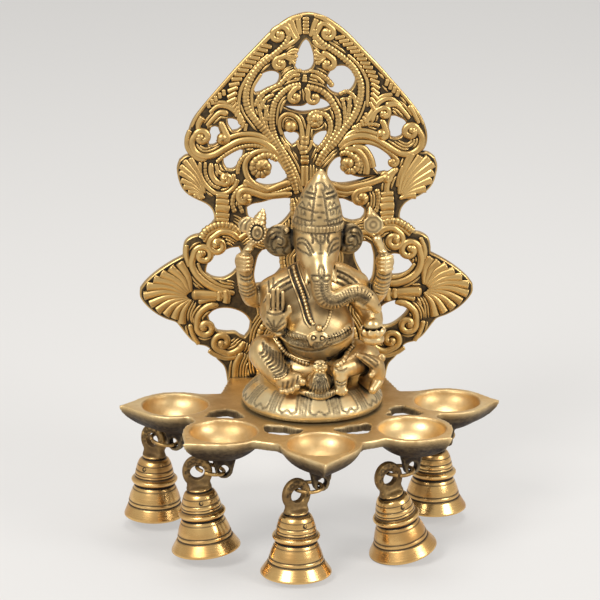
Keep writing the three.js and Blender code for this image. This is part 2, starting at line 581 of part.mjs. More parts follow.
// Under each cup: ring, bell and clapper, each at its own pivot
cups.forEach((cup, index) => {
  const number = index + 1;
  const place = cupPlace(cup);
  const hanger = new THREE.Group();
  hanger.position.set(place.x, place.y, -wireInLug);
  hanger.rotation.z = radians(cup.fold);
  lamp.add(hanger);

  const ring = meshOf(`bell_ring_${number}`, ringSolid(), darkBrass);
  const foldTurn = radians(90 - cup.raise);
  ring.rotation.y = foldTurn;
  ring.position.set(ringRadius * Math.cos(foldTurn), 0, -ringRadius * Math.sin(foldTurn));
  hanger.add(ring);

  const hanging = new THREE.Group();
  hanging.position.copy(ring.position).multiplyScalar(2);
  hanging.rotation.y = radians(cup.lean);
  hanger.add(hanging);
  hanging.add(meshOf(`bell_${number}`, bellSolid(), bellBrass));

  const crossPin = meshOf(`clapper_pin_${number}`, clapperPin(), darkBrass);
  crossPin.position.z = pinHeight - pivotHeight;
  hanging.add(crossPin);
  const striker = meshOf(`clapper_${number}`, clapperSolid(), darkBrass);
  striker.position.z = pinHeight - pivotHeight;
  striker.rotation.y = -radians(cup.lean);
  hanging.add(striker);
});

export default lamp;
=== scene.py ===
# Wall oil lamp in cast brass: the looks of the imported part.
# Sizes in this file are millimetres and turn into metres when a piece is made.
import math
import bpy
import numpy as np
from mathutils import Matrix, Vector


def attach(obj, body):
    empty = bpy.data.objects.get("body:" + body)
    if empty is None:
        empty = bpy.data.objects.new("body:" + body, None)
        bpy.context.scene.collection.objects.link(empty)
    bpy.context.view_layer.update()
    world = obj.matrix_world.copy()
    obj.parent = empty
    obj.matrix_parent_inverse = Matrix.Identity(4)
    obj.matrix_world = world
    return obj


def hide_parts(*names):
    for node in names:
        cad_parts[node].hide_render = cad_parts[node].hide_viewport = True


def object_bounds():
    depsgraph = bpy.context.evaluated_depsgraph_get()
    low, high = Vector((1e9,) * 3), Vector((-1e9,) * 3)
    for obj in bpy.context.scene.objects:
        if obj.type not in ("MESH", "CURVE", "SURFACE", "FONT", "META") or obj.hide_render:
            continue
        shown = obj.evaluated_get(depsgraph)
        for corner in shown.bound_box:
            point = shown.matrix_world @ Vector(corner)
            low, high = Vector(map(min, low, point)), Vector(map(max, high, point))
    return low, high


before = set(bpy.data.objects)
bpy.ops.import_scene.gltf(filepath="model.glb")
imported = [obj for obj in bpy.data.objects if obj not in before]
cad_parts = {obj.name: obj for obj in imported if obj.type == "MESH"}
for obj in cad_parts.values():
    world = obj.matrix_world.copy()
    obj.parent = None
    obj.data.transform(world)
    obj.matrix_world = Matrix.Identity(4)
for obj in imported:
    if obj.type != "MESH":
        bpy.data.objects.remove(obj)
cadLow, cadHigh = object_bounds()
scene = bpy.context.scene
mm = 0.001


# Shader helpers
class Link:
    # an output socket that can be used in sums and products
    def __init__(self, finish, socket):
        self.finish = finish
        self.socket = socket

    def mathNode(self, operation, a, b):
        return self.finish.node("ShaderNodeMath", {"operation": operation}, {0: a, 1: b})

    def __add__(self, other):
        return self.mathNode("ADD", self, other)

    def __sub__(self, other):
        return self.mathNode("SUBTRACT", self, other)

    def __mul__(self, other):
        return self.mathNode("MULTIPLY", self, other)

    def __rsub__(self, other):
        return self.mathNode("SUBTRACT", other, self)

    __radd__ = __add__
    __rmul__ = __mul__

    def limit(self):
        return self.finish.node("ShaderNodeClamp", {}, {"Value": self})


class Finish:
    # the nodes of a material or of the world, and the ways to add to them
    def __init__(self, owner, shader="Principled BSDF", output="Material Output"):
        self.owner = owner
        owner.use_nodes = True
        self.tree = owner.node_tree
        self.shader = self.tree.nodes[shader]
        self.surface = self.tree.nodes[output].inputs["Surface"]

    def node(self, kind, settings, inputs, output=0):
        made = self.tree.nodes.new(kind)
        for key, value in settings.items():
            setattr(made, key, value)
        for key, value in inputs.items():
            self.feed(made.inputs[key], value)
        return Link(self, made.outputs[output])

    def feed(self, socket, value):
        if isinstance(value, Link):
            self.tree.links.new(value.socket, socket)
        else:
            socket.default_value = value

    def set(self, **inputs):
        for key, value in inputs.items():
            self.feed(self.shader.inputs[key.replace("_", " ")], value)

    def noise(self, place, scale, detail=3.0, roughness=0.55):
        inputs = {"Vector": place, "Scale": scale, "Detail": detail, "Roughness": roughness}
        return self.node("ShaderNodeTexNoise", {}, inputs)

    def blend(self, factor, first, second):
        return self.node("ShaderNodeMix", {"data_type": "RGBA"}, {0: factor, 6: first, 7: second}, 2)

    def ramp(self, factor, low, high):
        return self.node("ShaderNodeMapRange", {}, {"Value": factor, "From Min": low, "From Max": high})

    def paleBehind(self, pale, share):
        # what the camera and the mirroring metal see of a surface, without more light on the lamp
        camera = self.node("ShaderNodeLightPath", {}, {}, "Is Camera Ray")
        mirrored = self.node("ShaderNodeLightPath", {}, {}, "Is Glossy Ray")
        own = Link(self, self.shader.outputs[0])
        share = (camera + mirrored).limit() * share
        mixed = self.node("ShaderNodeMixShader", {}, {0: share, 1: own, 2: pale})
        self.feed(self.surface, mixed)


def tint(hexCode):
    # a colour as the eye reads it, made linear for the shader
    values = [int(hexCode[i:i + 2], 16) / 255 for i in (0, 2, 4)]
    return tuple(v / 12.92 if v < 0.04045 else ((v + 0.055) / 1.055) ** 2.4 for v in values) + (1.0,)


# Brass finishes: what the metal shows where it is rubbed and where it is dull, and the painted shade with
# patina down in the hollows
brass = {
    "carved_brass": {
        "bright": "d4b272", "dull": "7c5d2f", "shadeAndPatina": "120c06", "shine": 0.30, "dullRough": 0.46,
        "reach": 2.8, "shadeAndGrime": 1.1, "grain": 0.45, "dirt": 0.9, "warm": 0.15},
    "figure_brass": {
        "bright": "f0d59c", "dull": "9a7a44", "shadeAndPatina": "0f0b06", "shine": 0.31, "dullRough": 0.47,
        "reach": 3.2, "shadeAndGrime": 1.05, "grain": 0.28, "dirt": 0.7, "warm": 0.25},
    "seat_brass": {
        "bright": "f8e2b0", "dull": "d6b67e", "shadeAndPatina": "120d07", "shine": 0.32, "dullRough": 0.46,
        "reach": 2.6, "shadeAndGrime": 0.75, "grain": 0.4, "dirt": 0.3, "warm": 0.1},
    "tray_brass": {
        "bright": "ecd09a", "dull": "b8935a", "shadeAndPatina": "26170a", "shine": 0.36, "dullRough": 0.5,
        "reach": 2.6, "shadeAndGrime": 0.65, "grain": 1.2, "dirt": 0.6, "warm": 0.1},
    "bell_brass": {
        "bright": "f2ca84", "dull": "bb8a46", "shadeAndPatina": "1a1209", "shine": 0.20, "dullRough": 0.36,
        "reach": 2.6, "shadeAndGrime": 1.0, "grain": 0.18, "toolMarks": 0.14, "dirt": 0.45, "warm": 0.3},
    "dark_brass": {
        "bright": "c9a66a", "dull": "57432a", "shadeAndPatina": "130d08", "shine": 0.34, "dullRough": 0.58,
        "reach": 2.0, "shadeAndGrime": 1.0, "grain": 1.4, "dirt": 1.5, "warm": 0.15},
}
# what all of them share: noise scales, the range of the creases and of the worn edges, and the bump
metal = {"cloud": 55.0, "speck": 420.0, "grain": 900.0, "swell": 160.0, "latheLines": 2.4,
         "crease": (0.14, 0.56), "worn": (0.515, 0.565), "patch": (0.36, 0.66), "copper": "c98f63",
         "bump": 0.22, "bumpDepth": 0.0004, "grimeRough": 0.22}


def brassFinish(name, look):
    finish = Finish(bpy.data.materials.new(name))
    place = finish.node("ShaderNodeTexCoord", {}, {}, "Object")
    # the AO node darkens creases and recesses: painted shade, with the patina that gathers there
    crease = finish.node("ShaderNodeAmbientOcclusion", {"samples": 8, "only_local": False},
                         {"Distance": look["reach"] * mm}, "AO")
    shadeAndPatina = finish.ramp(1 - crease, *metal["crease"])
    worn = finish.ramp(finish.node("ShaderNodeNewGeometry", {}, {}, "Pointiness"), *metal["worn"])
    # the mesh's own dark marks: real stains and pits, and painted shade in grooves, openings and under parts
    drawn = finish.node("ShaderNodeAttribute", {"attribute_name": "tarnishAndShade"}, {}, "Fac")
    cloud = finish.noise(place, metal["cloud"], 4.0)
    speck = finish.noise(place, metal["speck"])
    patch = finish.ramp(cloud, *metal["patch"])
    # the darkening mask: painted shade in the creases, the mesh's marks (stains and painted shade) and dirt
    # specks, less on worn edges; it darkens the colour and lowers Metallic
    shadeAndGrime = ((shadeAndPatina * look["shadeAndGrime"] + drawn) + (speck - 0.5) * 0.5 * look["dirt"] - worn * 0.3).limit()
    metalColour = finish.blend((patch * 0.75 - worn * 0.5).limit(), tint(look["bright"]), tint(look["dull"]))
    warm = finish.blend(cloud * look["warm"], metalColour, tint(metal["copper"]))
    colour = finish.blend(shadeAndGrime, warm, tint(look["shadeAndPatina"]))
    rough = look["shine"] + patch * (look["dullRough"] - look["shine"]) + shadeAndGrime * metal["grimeRough"]
    grain = finish.noise(place, metal["grain"], 4.0, 0.65)
    height = grain * look["grain"] + finish.noise(place, metal["swell"], 2.0) * 0.5 * look["grain"]
    if "toolMarks" in look:
        turned = finish.node("ShaderNodeAttribute", {"attribute_name": "turned"}, {}, "Fac")
        lines = finish.node("ShaderNodeTexNoise", {"noise_dimensions": "1D"},
                            {"W": turned, "Scale": metal["latheLines"], "Detail": 3.0, "Roughness": 0.8})
        height = height + lines * look["toolMarks"]
        rough = rough + (lines - 0.5) * 0.22
    bump = finish.node("ShaderNodeBump", {}, {"Strength": metal["bump"], "Distance": metal["bumpDepth"],
                                              "Height": height})
    finish.set(Base_Color=colour, Metallic=1 - shadeAndGrime * 0.6, Roughness=rough, Normal=bump)
    return finish.owner


finishes = {name: brassFinish(name, look) for name, look in brass.items()}
print("finishes ready")


# Mesh helpers
def makePiece(name, skin, finish, place=(0, 0, 0), **marks):
    # skin is (points, faces, tarnish and painted shade); marks are more values for each point
    mesh = bpy.data.meshes.new(name)
    points, faces, tarnishAndShade = skin
    points = (np.asarray(points, float) + place) * mm
    faces = np.asarray(faces, int)
    mesh.vertices.add(len(points))
    mesh.vertices.foreach_set("co", points.ravel())
    mesh.loops.add(faces.size)
    mesh.loops.foreach_set("vertex_index", faces.ravel())
    mesh.polygons.add(len(faces))
    mesh.polygons.foreach_set("loop_start", np.arange(0, faces.size, faces.shape[1]))
    mesh.update(calc_edges=True)
    mesh.validate()
    for key, values in {"tarnishAndShade": tarnishAndShade, **marks}.items():
        mesh.attributes.new(key, "FLOAT", "POINT").data.foreach_set("value", np.asarray(values, np.float32))
    mesh.shade_smooth()
    mesh.materials.append(finishes[finish])
    piece = bpy.data.objects.new(name, mesh)
    scene.collection.objects.link(piece)
    return piece


def joinParts(parts):
    # several (points, faces, tarnish and painted shade) skins as one; that last part may be left out
    points, faces, tarnishAndShade, count = [], [], [], 0
    for part in parts:
        points.append(part[0])
        faces.append(np.asarray(part[1]) + count)
        tarnishAndShade.append(part[2] if len(part) > 2 else np.zeros(len(part[0])))
        count += len(part[0])
    return np.concatenate(points), np.concatenate(faces), np.concatenate(tarnishAndShade)


def curveBetween(a, b, c, d, t):
    # a Catmull-Rom curve from b to c
    square, cube = (2 * a - 5 * b + 4 * c - d) * t ** 2, (3 * b - 3 * c + d - a) * t ** 3
    return 0.5 * (2 * b + (c - a) * t + square + cube)


def smoothPath(points, step):
    # a smooth curve through the points, cut into even steps
    points = np.asarray(points, float)
    padded = np.vstack([2 * points[0] - points[1], points, 2 * points[-1] - points[-2]])
    t = np.linspace(0, 1, 24, endpoint=False)[:, None]
    curve = [curveBetween(*four, t) for four in zip(padded, padded[1:], padded[2:], padded[3:])]
    curve = np.vstack(curve + [points[-1:]])
    along = np.concatenate([[0], np.cumsum(np.linalg.norm(np.diff(curve, axis=0), axis=1))])
    count = max(2, int(along[-1] / step) + 1)
    even = np.linspace(0, along[-1], count)
    return np.stack([np.interp(even, along, curve[:, i]) for i in range(points.shape[1])], 1), even


def ringFaces(count, sides):
    # four-sided faces between rings of points
    i, j = np.meshgrid(np.arange(count - 1), np.arange(sides), indexing="ij")
    k = (j + 1) % sides
    return np.stack([i * sides + j, (i + 1) * sides + j, (i + 1) * sides + k, i * sides + k],
                    -1).reshape(-1, 4)


def fullTurn(count):
    return np.linspace(0, 2 * math.pi, count, endpoint=False)


def arcPoints(turns, wide, tall=None, rise=0.0):
    # points of a round or oval arc in a plane, its middle raised by rise
    return np.stack([wide * np.cos(turns), (tall or wide) * np.sin(turns) + rise], 1)


def beading(along, spacing, deep):
    # the share of its radius that a beaded line keeps, and the painted shade between its beads
    gap = 1 - np.abs(np.sin(math.pi * along / spacing)) ** 0.6
    return 1 - deep * gap, 0.9 * gap ** 1.5


def tubeAlong(path, radius, sides=8, flat=1.0, front=None, marks=None):
    # a round or flattened bar along a path; its ends are drawn together
    path = np.asarray(path, float)
    count = len(path)
    ahead = np.gradient(path, axis=0)
    ahead /= np.linalg.norm(ahead, axis=1)[:, None] + 1e-12
    if front is None:
        side = np.cross(ahead[0], [0, 0, 1.0])
        if np.linalg.norm(side) < 0.1:
            side = np.cross(ahead[0], [1.0, 0, 0])
        sideways = [side / np.linalg.norm(side)]
        for step in ahead[1:]:
            side = sideways[-1] - step * np.dot(sideways[-1], step)
            sideways.append(side / np.linalg.norm(side))
        sideways = np.array(sideways)
    else:
        front = np.broadcast_to(np.asarray(front, float), path.shape)
        sideways = np.cross(ahead, front)
        sideways /= np.linalg.norm(sideways, axis=1)[:, None] + 1e-12
    outward = np.cross(sideways, ahead)
    radius = np.broadcast_to(radius, (count,)).astype(float).copy()
    radius[0] *= 0.2
    radius[-1] *= 0.2
    turn = np.arange(sides) / sides * 2 * math.pi
    ring = (sideways[:, None, :] * np.cos(turn)[None, :, None]
            + outward[:, None, :] * (flat * np.sin(turn))[None, :, None])
    points = (path[:, None, :] + ring * radius[:, None, None]).reshape(-1, 3)
    dark = np.zeros(count) if marks is None else marks
    return points, ringFaces(count, sides), np.repeat(dark, sides)


def turnedBody(profile, sides, step):
    # a lathe body from (radius, height) points, its long stretches cut up so that it shades evenly
    profile = np.asarray(profile, float)
    rings = [profile[0]]
    for a, b in zip(profile, profile[1:]):
        count = max(1, int(np.linalg.norm(b - a) / step))
        rings += [a + (b - a) * (i + 1) / count for i in range(count)]
    rings = np.array(rings)
    turn = np.arange(sides) / sides * 2 * math.pi
    radius = np.maximum(rings[:, 0], 0.02)
    points = np.stack([radius[:, None] * np.cos(turn), radius[:, None] * np.sin(turn),
                       np.repeat(rings[:, 1:2], sides, 1)], -1).reshape(-1, 3)
    return points, ringFaces(len(rings), sides)[:, [0, 3, 2, 1]], rings


def knob(radius, tall, steps, sides):
    turn = np.linspace(0, math.pi, steps)
    points, faces, _ = turnedBody(np.stack([radius * np.sin(turn), -tall * radius * np.cos(turn)], 1), sides,
                                  9)
    return points, faces


# Cast metal as a block of small cells. Each corner holds its distance to the skin, below 0 in the metal
class Casting:
    def __init__(self, low, high, cell):
        self.low = np.array(low, float)
        self.cell = cell
        self.count = np.ceil((np.array(high) - self.low) / cell).astype(int) + 1
        self.skin = np.full(self.count, 20.0, np.float32)
        # how dark each corner is painted: stains, and painted shade in hollows
        self.dark = np.zeros(self.count, np.float32)

    def part(self, shape, margin):
        low, high, distance = shape
        start = np.clip(np.floor((np.array(low) - margin - self.low) / self.cell).astype(int), 0,
                        self.count - 1)
        stop = np.clip(np.ceil((np.array(high) + margin - self.low) / self.cell).astype(int) + 1, 1,
                       self.count)
        axes = [self.low[i] + self.cell * np.arange(start[i], stop[i]) for i in range(3)]
        x, y, z = np.meshgrid(*axes, indexing="ij", sparse=True)
        return tuple(slice(a, b) for a, b in zip(start, stop)), distance(x, y, z).astype(np.float32)

    def add(self, shape, blend=0.5):
        window, d = self.part(shape, blend + 1.5)
        here = self.skin[window]
        h = np.clip(0.5 + 0.5 * (d - here) / blend, 0, 1)
        self.skin[window] = d * (1 - h) + here * h - blend * h * (1 - h)

    def cut(self, shape, blend=0.15, dark=0.0, soft=0.4):
        window, d = self.part(shape, blend + 1.0)
        here = self.skin[window]
        h = np.clip(0.5 + 0.5 * (-d - here) / -blend, 0, 1)
        self.skin[window] = -d * (1 - h) + here * h + blend * h * (1 - h)
        # dark paints the cut's walls darker: painted shade down in the groove, with patina
        if dark:
            self.dark[window] = np.maximum(self.dark[window], dark * np.clip(1 - d / soft, 0, 1))

    def stainAndShade(self, shape, dark, soft=1.0):
        # dark above 0 darkens, for stains and for painted shade; below 0 it polishes
        window, d = self.part(shape, soft + 0.5)
        share = np.clip(1 - d / soft, 0, 1)
        pick = np.maximum if dark > 0 else np.minimum
        self.dark[window] = np.where(share > 0, pick(self.dark[window], dark * share), self.dark[window])

    def frontOf(self, x, z, start=-99.0):
        # where the skin is met, looking along +Y from the place start at this x and z
        i, k = (int(round((value - self.low[axis]) / self.cell)) for value, axis in ((x, 0), (z, 2)))
        column = self.skin[np.clip(i, 0, self.count[0] - 1), :, np.clip(k, 0, self.count[2] - 1)]
        hits = np.nonzero((column < 0) & (self.low[1] + self.cell * np.arange(len(column)) > start))[0]
        if not len(hits):
            return None
        j = hits[0]
        back = column[j - 1] if j else column[j] + 1
        return self.low[1] + self.cell * (j - column[j] / (column[j] - back + 1e-9))

    def mesh(self):
        inside = self.skin < 0
        spans = (slice(0, -1), slice(1, None))
        corners = [(i, j, k) for i in (0, 1) for j in (0, 1) for k in (0, 1)]
        total = sum(inside[spans[i], spans[j], spans[k]].astype(np.int8) for i, j, k in corners)
        active = (total > 0) & (total < 8)
        cells = np.argwhere(active)
        number = np.full(active.shape, -1)
        number[active] = np.arange(len(cells))
        values = {c: self.skin[tuple((cells + c).T)] for c in corners}
        place = np.zeros((len(cells), 3))
        hits = np.zeros(len(cells))
        for a in corners:
            for axis in range(3):
                if a[axis]:
                    continue
                b = tuple(1 if i == axis else a[i] for i in range(3))
                crossing = (values[a] < 0) != (values[b] < 0)
                t = np.where(crossing, values[a] / np.where(crossing, values[a] - values[b], 1), 0)
                step = np.array(a) + t[:, None] * (np.array(b) - np.array(a))
                place += step * crossing[:, None]
                hits += crossing
        points = self.low + (cells + place / hits[:, None]) * self.cell
        faces = []
        for axis in range(3):
            u, v = np.eye(3, dtype=int)[[(axis + 1) % 3, (axis + 2) % 3]]
            low = [slice(1, -1)] * 3
            high = [slice(1, -1)] * 3
            low[axis] = slice(0, -1)
            high[axis] = slice(1, None)
            first = inside[tuple(low)]
            change = first != inside[tuple(high)]
            at = np.argwhere(change)
            offset = np.ones(3, int)
            offset[axis] = 0
            edge = at + offset
            quad = np.stack([number[tuple((edge - u - v).T)], number[tuple((edge - v).T)],
                             number[tuple(edge.T)], number[tuple((edge - u).T)]], 1)
            flip = ~first[tuple(at.T)]
            quad[flip] = quad[flip][:, ::-1]
            faces.append(quad)
        tarnishAndShade = sum(self.dark[tuple((cells + c).T)] for c in corners) / 8
        return points, np.concatenate(faces), tarnishAndShade


def spinMatrix(turns):
    # turns about X, then Y, then Z in degrees
    a, b, c = (math.radians(t) for t in turns)
    aboutX = np.array([[1, 0, 0], [0, math.cos(a), -math.sin(a)], [0, math.sin(a), math.cos(a)]])
    aboutY = np.array([[math.cos(b), 0, math.sin(b)], [0, 1, 0], [-math.sin(b), 0, math.cos(b)]])
    aboutZ = np.array([[math.cos(c), -math.sin(c), 0], [math.sin(c), math.cos(c), 0], [0, 0, 1]])
    return aboutZ @ aboutY @ aboutX


def lump(center, radii, turns=(0, 0, 0)):
    center = np.array(center, float)
    radii = np.array(radii if isinstance(radii, (list, tuple)) else [radii] * 3, float)
    matrix = spinMatrix(turns)
    reach = np.abs(matrix) @ radii

    def distance(x, y, z):
        x, y, z = x - center[0], y - center[1], z - center[2]
        if any(turns):
            x, y, z = (matrix[0, i] * x + matrix[1, i] * y + matrix[2, i] * z for i in range(3))
        near = np.sqrt((x / radii[0]) ** 2 + (y / radii[1]) ** 2 + (z / radii[2]) ** 2)
        slope = np.sqrt((x / radii[0] ** 2) ** 2 + (y / radii[1] ** 2) ** 2 + (z / radii[2] ** 2) ** 2)
        return near * (near - 1) / np.maximum(slope, 1e-4)
    return center - reach, center + reach, distance


def limb(points, radii, step=2.0):
    # a bar through points with a radius at each
    points = np.asarray(points, float)
    radii = np.broadcast_to(radii, (len(points),)).astype(float)
    if len(points) > 2:
        both, _ = smoothPath(np.column_stack([points, radii]), step)
    else:
        both = np.column_stack([points, radii])
    points, radii = both[:, :3], both[:, 3]

    def distance(x, y, z):
        best = None
        for a, b, ra, rb in zip(points, points[1:], radii, radii[1:]):
            d = b - a
            size = float(d @ d) + 1e-9
            t = np.clip(((x - a[0]) * d[0] + (y - a[1]) * d[1] + (z - a[2]) * d[2]) / size, 0, 1)
            gap = sum((value - a[i] - t * d[i]) ** 2 for i, value in enumerate((x, y, z)))
            gap = np.sqrt(gap) - (ra + t * (rb - ra))
            best = gap if best is None else np.minimum(best, gap)
        return best
    grow = radii[:, None]
    return (points - grow).min(0), (points + grow).max(0), distance


def outlineGap(u, v, points):
    # distance to a closed outline, below 0 inside it
    u, v = np.broadcast_arrays(u, v)
    best = np.full(u.shape, 1e9)
    odd = np.zeros(u.shape, bool)
    for a, b in zip(points, np.roll(points, -1, 0)):
        d = b - a
        t = np.clip(((u - a[0]) * d[0] + (v - a[1]) * d[1]) / (d @ d + 1e-12), 0, 1)
        best = np.minimum(best, (u - a[0] - t * d[0]) ** 2 + (v - a[1] - t * d[1]) ** 2)
        if a[1] != b[1]:
            crosses = (a[1] > v) != (b[1] > v)
            odd ^= crosses & (u < a[0] + (v - a[1]) * d[0] / d[1])
    return np.where(odd, -1, 1) * np.sqrt(best)


def turnedShape(profile, center, tilt=(0, 0, 0), sides=0):
    # a lathe form; its axis is Z before the tilt. With sides it is a many-sided form
    profile = np.array(profile, float)
    profile = np.vstack([[[-profile[0, 0] - 1, profile[0, 1]]], profile, [[-1, profile[-1, 1]]]])
    center = np.array(center, float)
    matrix = spinMatrix(tilt)
    reach = profile[:, 0].max()
    top, bottom = profile[:, 1].max(), profile[:, 1].min()
    box = np.array([[x, y,
                     z] for x in (-reach, reach) for y in (-reach, reach) for z in (bottom, top)]) @ matrix.T

    def distance(x, y, z):
        x, y, z = x - center[0], y - center[1], z - center[2]
        if any(tilt):
            x, y, z = (matrix[0, i] * x + matrix[1, i] * y + matrix[2, i] * z for i in range(3))
        if sides:
            turn = np.arctan2(y, x)
            wedge = 2 * math.pi / sides
            off = (turn + wedge / 2) % wedge - wedge / 2
            radius = np.hypot(x, y) * np.cos(off) / math.cos(wedge / 2)
        else:
            radius = np.hypot(x, y)
        return outlineGap(radius, z + 0 * radius, profile)
    return center + box.min(0), center + box.max(0), distance


def plateGap(flat, thick, round):
    # distance to a plate with round edges, from those to its outline and to its faces
    flat, thick = np.broadcast_arrays(flat + round, thick + round)
    outside = np.sqrt(np.maximum(flat, 0) ** 2 + np.maximum(thick, 0) ** 2)
    return outside + np.minimum(np.maximum(flat, thick), 0) - round


def slab(outline, low, high, axis=2, round=0.0):
    # a plate with this outline; axis is its thin direction
    outline = np.asarray(outline, float)
    others = [i for i in range(3) if i != axis]
    lowest, highest = np.zeros(3), np.zeros(3)
    lowest[others], highest[others] = outline.min(0), outline.max(0)
    lowest[axis], highest[axis] = low, high

    def distance(*place):
        flat = outlineGap(place[others[0]], place[others[1]], outline)
        return plateGap(flat, np.abs(place[axis] - (low + high) / 2) - (high - low) / 2, round)
    return lowest, highest, distance


view = {"place": (-108.33, -1583.9, 522.96), "turn": 0.0662, "down": 0.295, "roll": 0.004, "focal": 3138.09,
        "frameWidth": 600, "sensor": 36.0}


def addCamera():
    turn, down = view["turn"], view["down"]
    forward = Vector((math.sin(turn) * math.cos(down), math.cos(turn) * math.cos(down), -math.sin(down)))
    right = Vector((math.cos(turn), -math.sin(turn), 0))
    up = right.cross(forward)
    c, s = math.cos(view["roll"]), math.sin(view["roll"])
    rolledRight, rolledUp = right * c + up * s, up * c - right * s
    data = bpy.data.cameras.new("photo_camera")
    data.sensor_width = view["sensor"]
    data.lens = view["focal"] / view["frameWidth"] * view["sensor"]
    data.clip_end = 50
    camera = bpy.data.objects.new("photo_camera", data)
    scene.collection.objects.link(camera)
    turnMatrix = Matrix((rolledRight, rolledUp, -forward)).transposed().to_4x4()
    camera.matrix_world = Matrix.Translation(Vector(view["place"]) * mm) @ turnMatrix
    scene.camera = camera


addCamera()

studio = {"floorHeight": -68.0, "floorSize": 12.0, "floorTint": "d9d6d2", "dustTint": "cfccc8", "pale": 0.55,
          "paleTint": "efedea", "backTint": "c9c7c4", "fillTint": "ffffff", "fill": 0.26,
          "aim": (0, -0.06, 0.05)}
softboxes = {"key_softbox": ((-0.9, -1.1, 1.25), 0.65, 20.0),
             "side_softbox": ((1.15, -0.8, 0.75), 0.55, 10.0), "top_softbox": ((0.1, 0.35, 1.3), 0.7, 10.0)}


def addStudio():
    floor = Finish(bpy.data.materials.new("studio_floor"))
    place = floor.node("ShaderNodeTexCoord", {}, {}, "Object")
    dust = floor.noise(place, 3.0, 2.0)
    floorTint = floor.blend(dust * 0.3, tint(studio["floorTint"]), tint(studio["dustTint"]))
    floor.set(Base_Color=floorTint, Roughness=0.75)
    glow = floor.node("ShaderNodeEmission", {}, {"Color": tint(studio["paleTint"]), "Strength": 1.0})
    floor.paleBehind(glow, studio["pale"])
    finishes["studio_floor"] = floor.owner
    half = studio["floorSize"] / 2 / mm
    height = min(studio["floorHeight"], cadLow.z / mm)
    corners = [(-half, -half, height), (half, -half, height), (half, half, height), (-half, half, height)]
    makePiece("studio_floor", joinParts([(corners, [[0, 1, 2, 3]])]), "studio_floor")
    air = Finish(bpy.data.worlds.new("studio_air"), "Background", "World Output")
    air.set(Color=tint(studio["fillTint"]), Strength=studio["fill"])
    back = air.node("ShaderNodeBackground", {}, {"Color": tint(studio["backTint"]), "Strength": 1.0})
    air.paleBehind(back, 1.0)
    scene.world = air.owner
    for name, (place, size, power) in softboxes.items():
        lamp = bpy.data.lights.new(name, "AREA")
        lamp.energy = power
        lamp.size = size
        holder = bpy.data.objects.new(name, lamp)
        scene.collection.objects.link(holder)
        holder.location = place
        holder.rotation_euler = (Vector(studio["aim"]) - Vector(place)).to_track_quat("-Z", "Y").to_euler()


addStudio()
scene.view_settings.view_transform = "Standard"
print("studio ready")


# Tray: five leaf-shaped cups on one casting, with a lug below each
tray = {"hubY": -48.5, "hubRadius": 42, "plate": 4.5, "bowlRadius": 17, "bowlDepth": 11.5, "rim": 4,
        "floor": 3.5, "lugDrop": 20.4, "lugHole": 2.5, "lugEnd": 4.6, "lugRoot": 14, "lugThick": 4,
        "webInner": 53, "webOuter": 67, "tongue": 82, "lip": 8, "foot": -8.2, "back": -5.8, "tipCut": 1.1,
        "cell": 0.9, "boltHole": 2.8, "screwX": 27.0, "screwZ": -3.9, "screwHole": 2.2, "screwEnd": -12.3,
        "shadeBelow": ((-1.2, 0.35), (-2.2, 0.62), (-3.6, 0.85), (-5.6, 0.97))}
cups = [
    {"angle": -90, "reach": 70.8, "tip": 31.0, "fold": 143, "raise": 100, "lean": 0, "arm": 33, "flare": 0.9},
    {"angle": -48, "reach": 64, "tip": 30, "fold": 180, "raise": 101, "lean": 6, "arm": 16},
    {"angle": 0, "reach": 64.3, "tip": 34, "fold": 205, "raise": 88, "lean": 0, "arm": 16, "flare": 1.025},
    {"angle": 48, "reach": 64, "tip": 27, "fold": 205, "raise": 88, "lean": 13, "arm": 16},
    {"angle": 89, "reach": 70, "tip": 29.0, "fold": 112, "raise": 100, "lean": 0, "arm": 33},
]
for cup in cups:
    turn = math.radians(cup["angle"])
    cup["x"] = cup["reach"] * math.sin(turn)
    cup["y"] = tray["hubY"] - cup["reach"] * math.cos(turn)

# the openings round the seat, as the file left them
trayOpenings = [
    [(-55.8, -67.9), (-53.4, -61), (-49.5, -58.1), (-44.5, -56.8), (-39.8, -60.6), (-37.4, -67.4),
     (-40.7, -70.3), (-48.9, -69.9)],
    [(-25.2, -89.6), (-23.3, -83.2), (-16.7, -84.4), (-7.7, -91.7), (-10.2, -96.1), (-17.5, -96.9),
     (-24.8, -94.2)],
    [(11.9, -89.7), (16, -85.7), (21.2, -84.5), (26.5, -85.2), (24.6, -96.9), (18.8, -98.5), (14.1, -94.8)],
    [(39.2, -60.9), (42.4, -57.1), (46.5, -56.5), (51.6, -61.5), (55.5, -68.5), (52.7, -71.4), (45.5, -69.5),
     (40, -66.1)],
]


def leafOutline(tip):
    # round behind, drawn out to a point in front; +X is outwards
    radius = tray["bowlRadius"] + tray["rim"]
    start = math.radians(52)
    bowl = arcPoints(np.linspace(start, 2 * math.pi - start, 40), radius)
    side = np.array([radius * math.cos(start), -radius * math.sin(start)])
    pull = side + 0.35 * tip * np.array([math.sin(start), math.cos(start)])
    near = np.array([tip - 5, -2.2])
    end = np.array([tip, 0.0])
    t = np.linspace(0, 1, 16)[1:, None]
    half = (1 - t) ** 3 * side + 3 * (1 - t) ** 2 * t * pull + 3 * (1 - t) * t ** 2 * near + t ** 3 * end
    back = half[:-1][::-1] * [1, -1]
    return np.vstack([bowl, half, back])


def turnedPoints(points, angle, x=0.0, y=0.0):
    c, s = math.cos(math.radians(angle)), math.sin(math.radians(angle))
    points = np.asarray(points, float)
    return np.stack([points[:, 0] * c - points[:, 1] * s + x, points[:, 0] * s + points[:, 1] * c + y], 1)


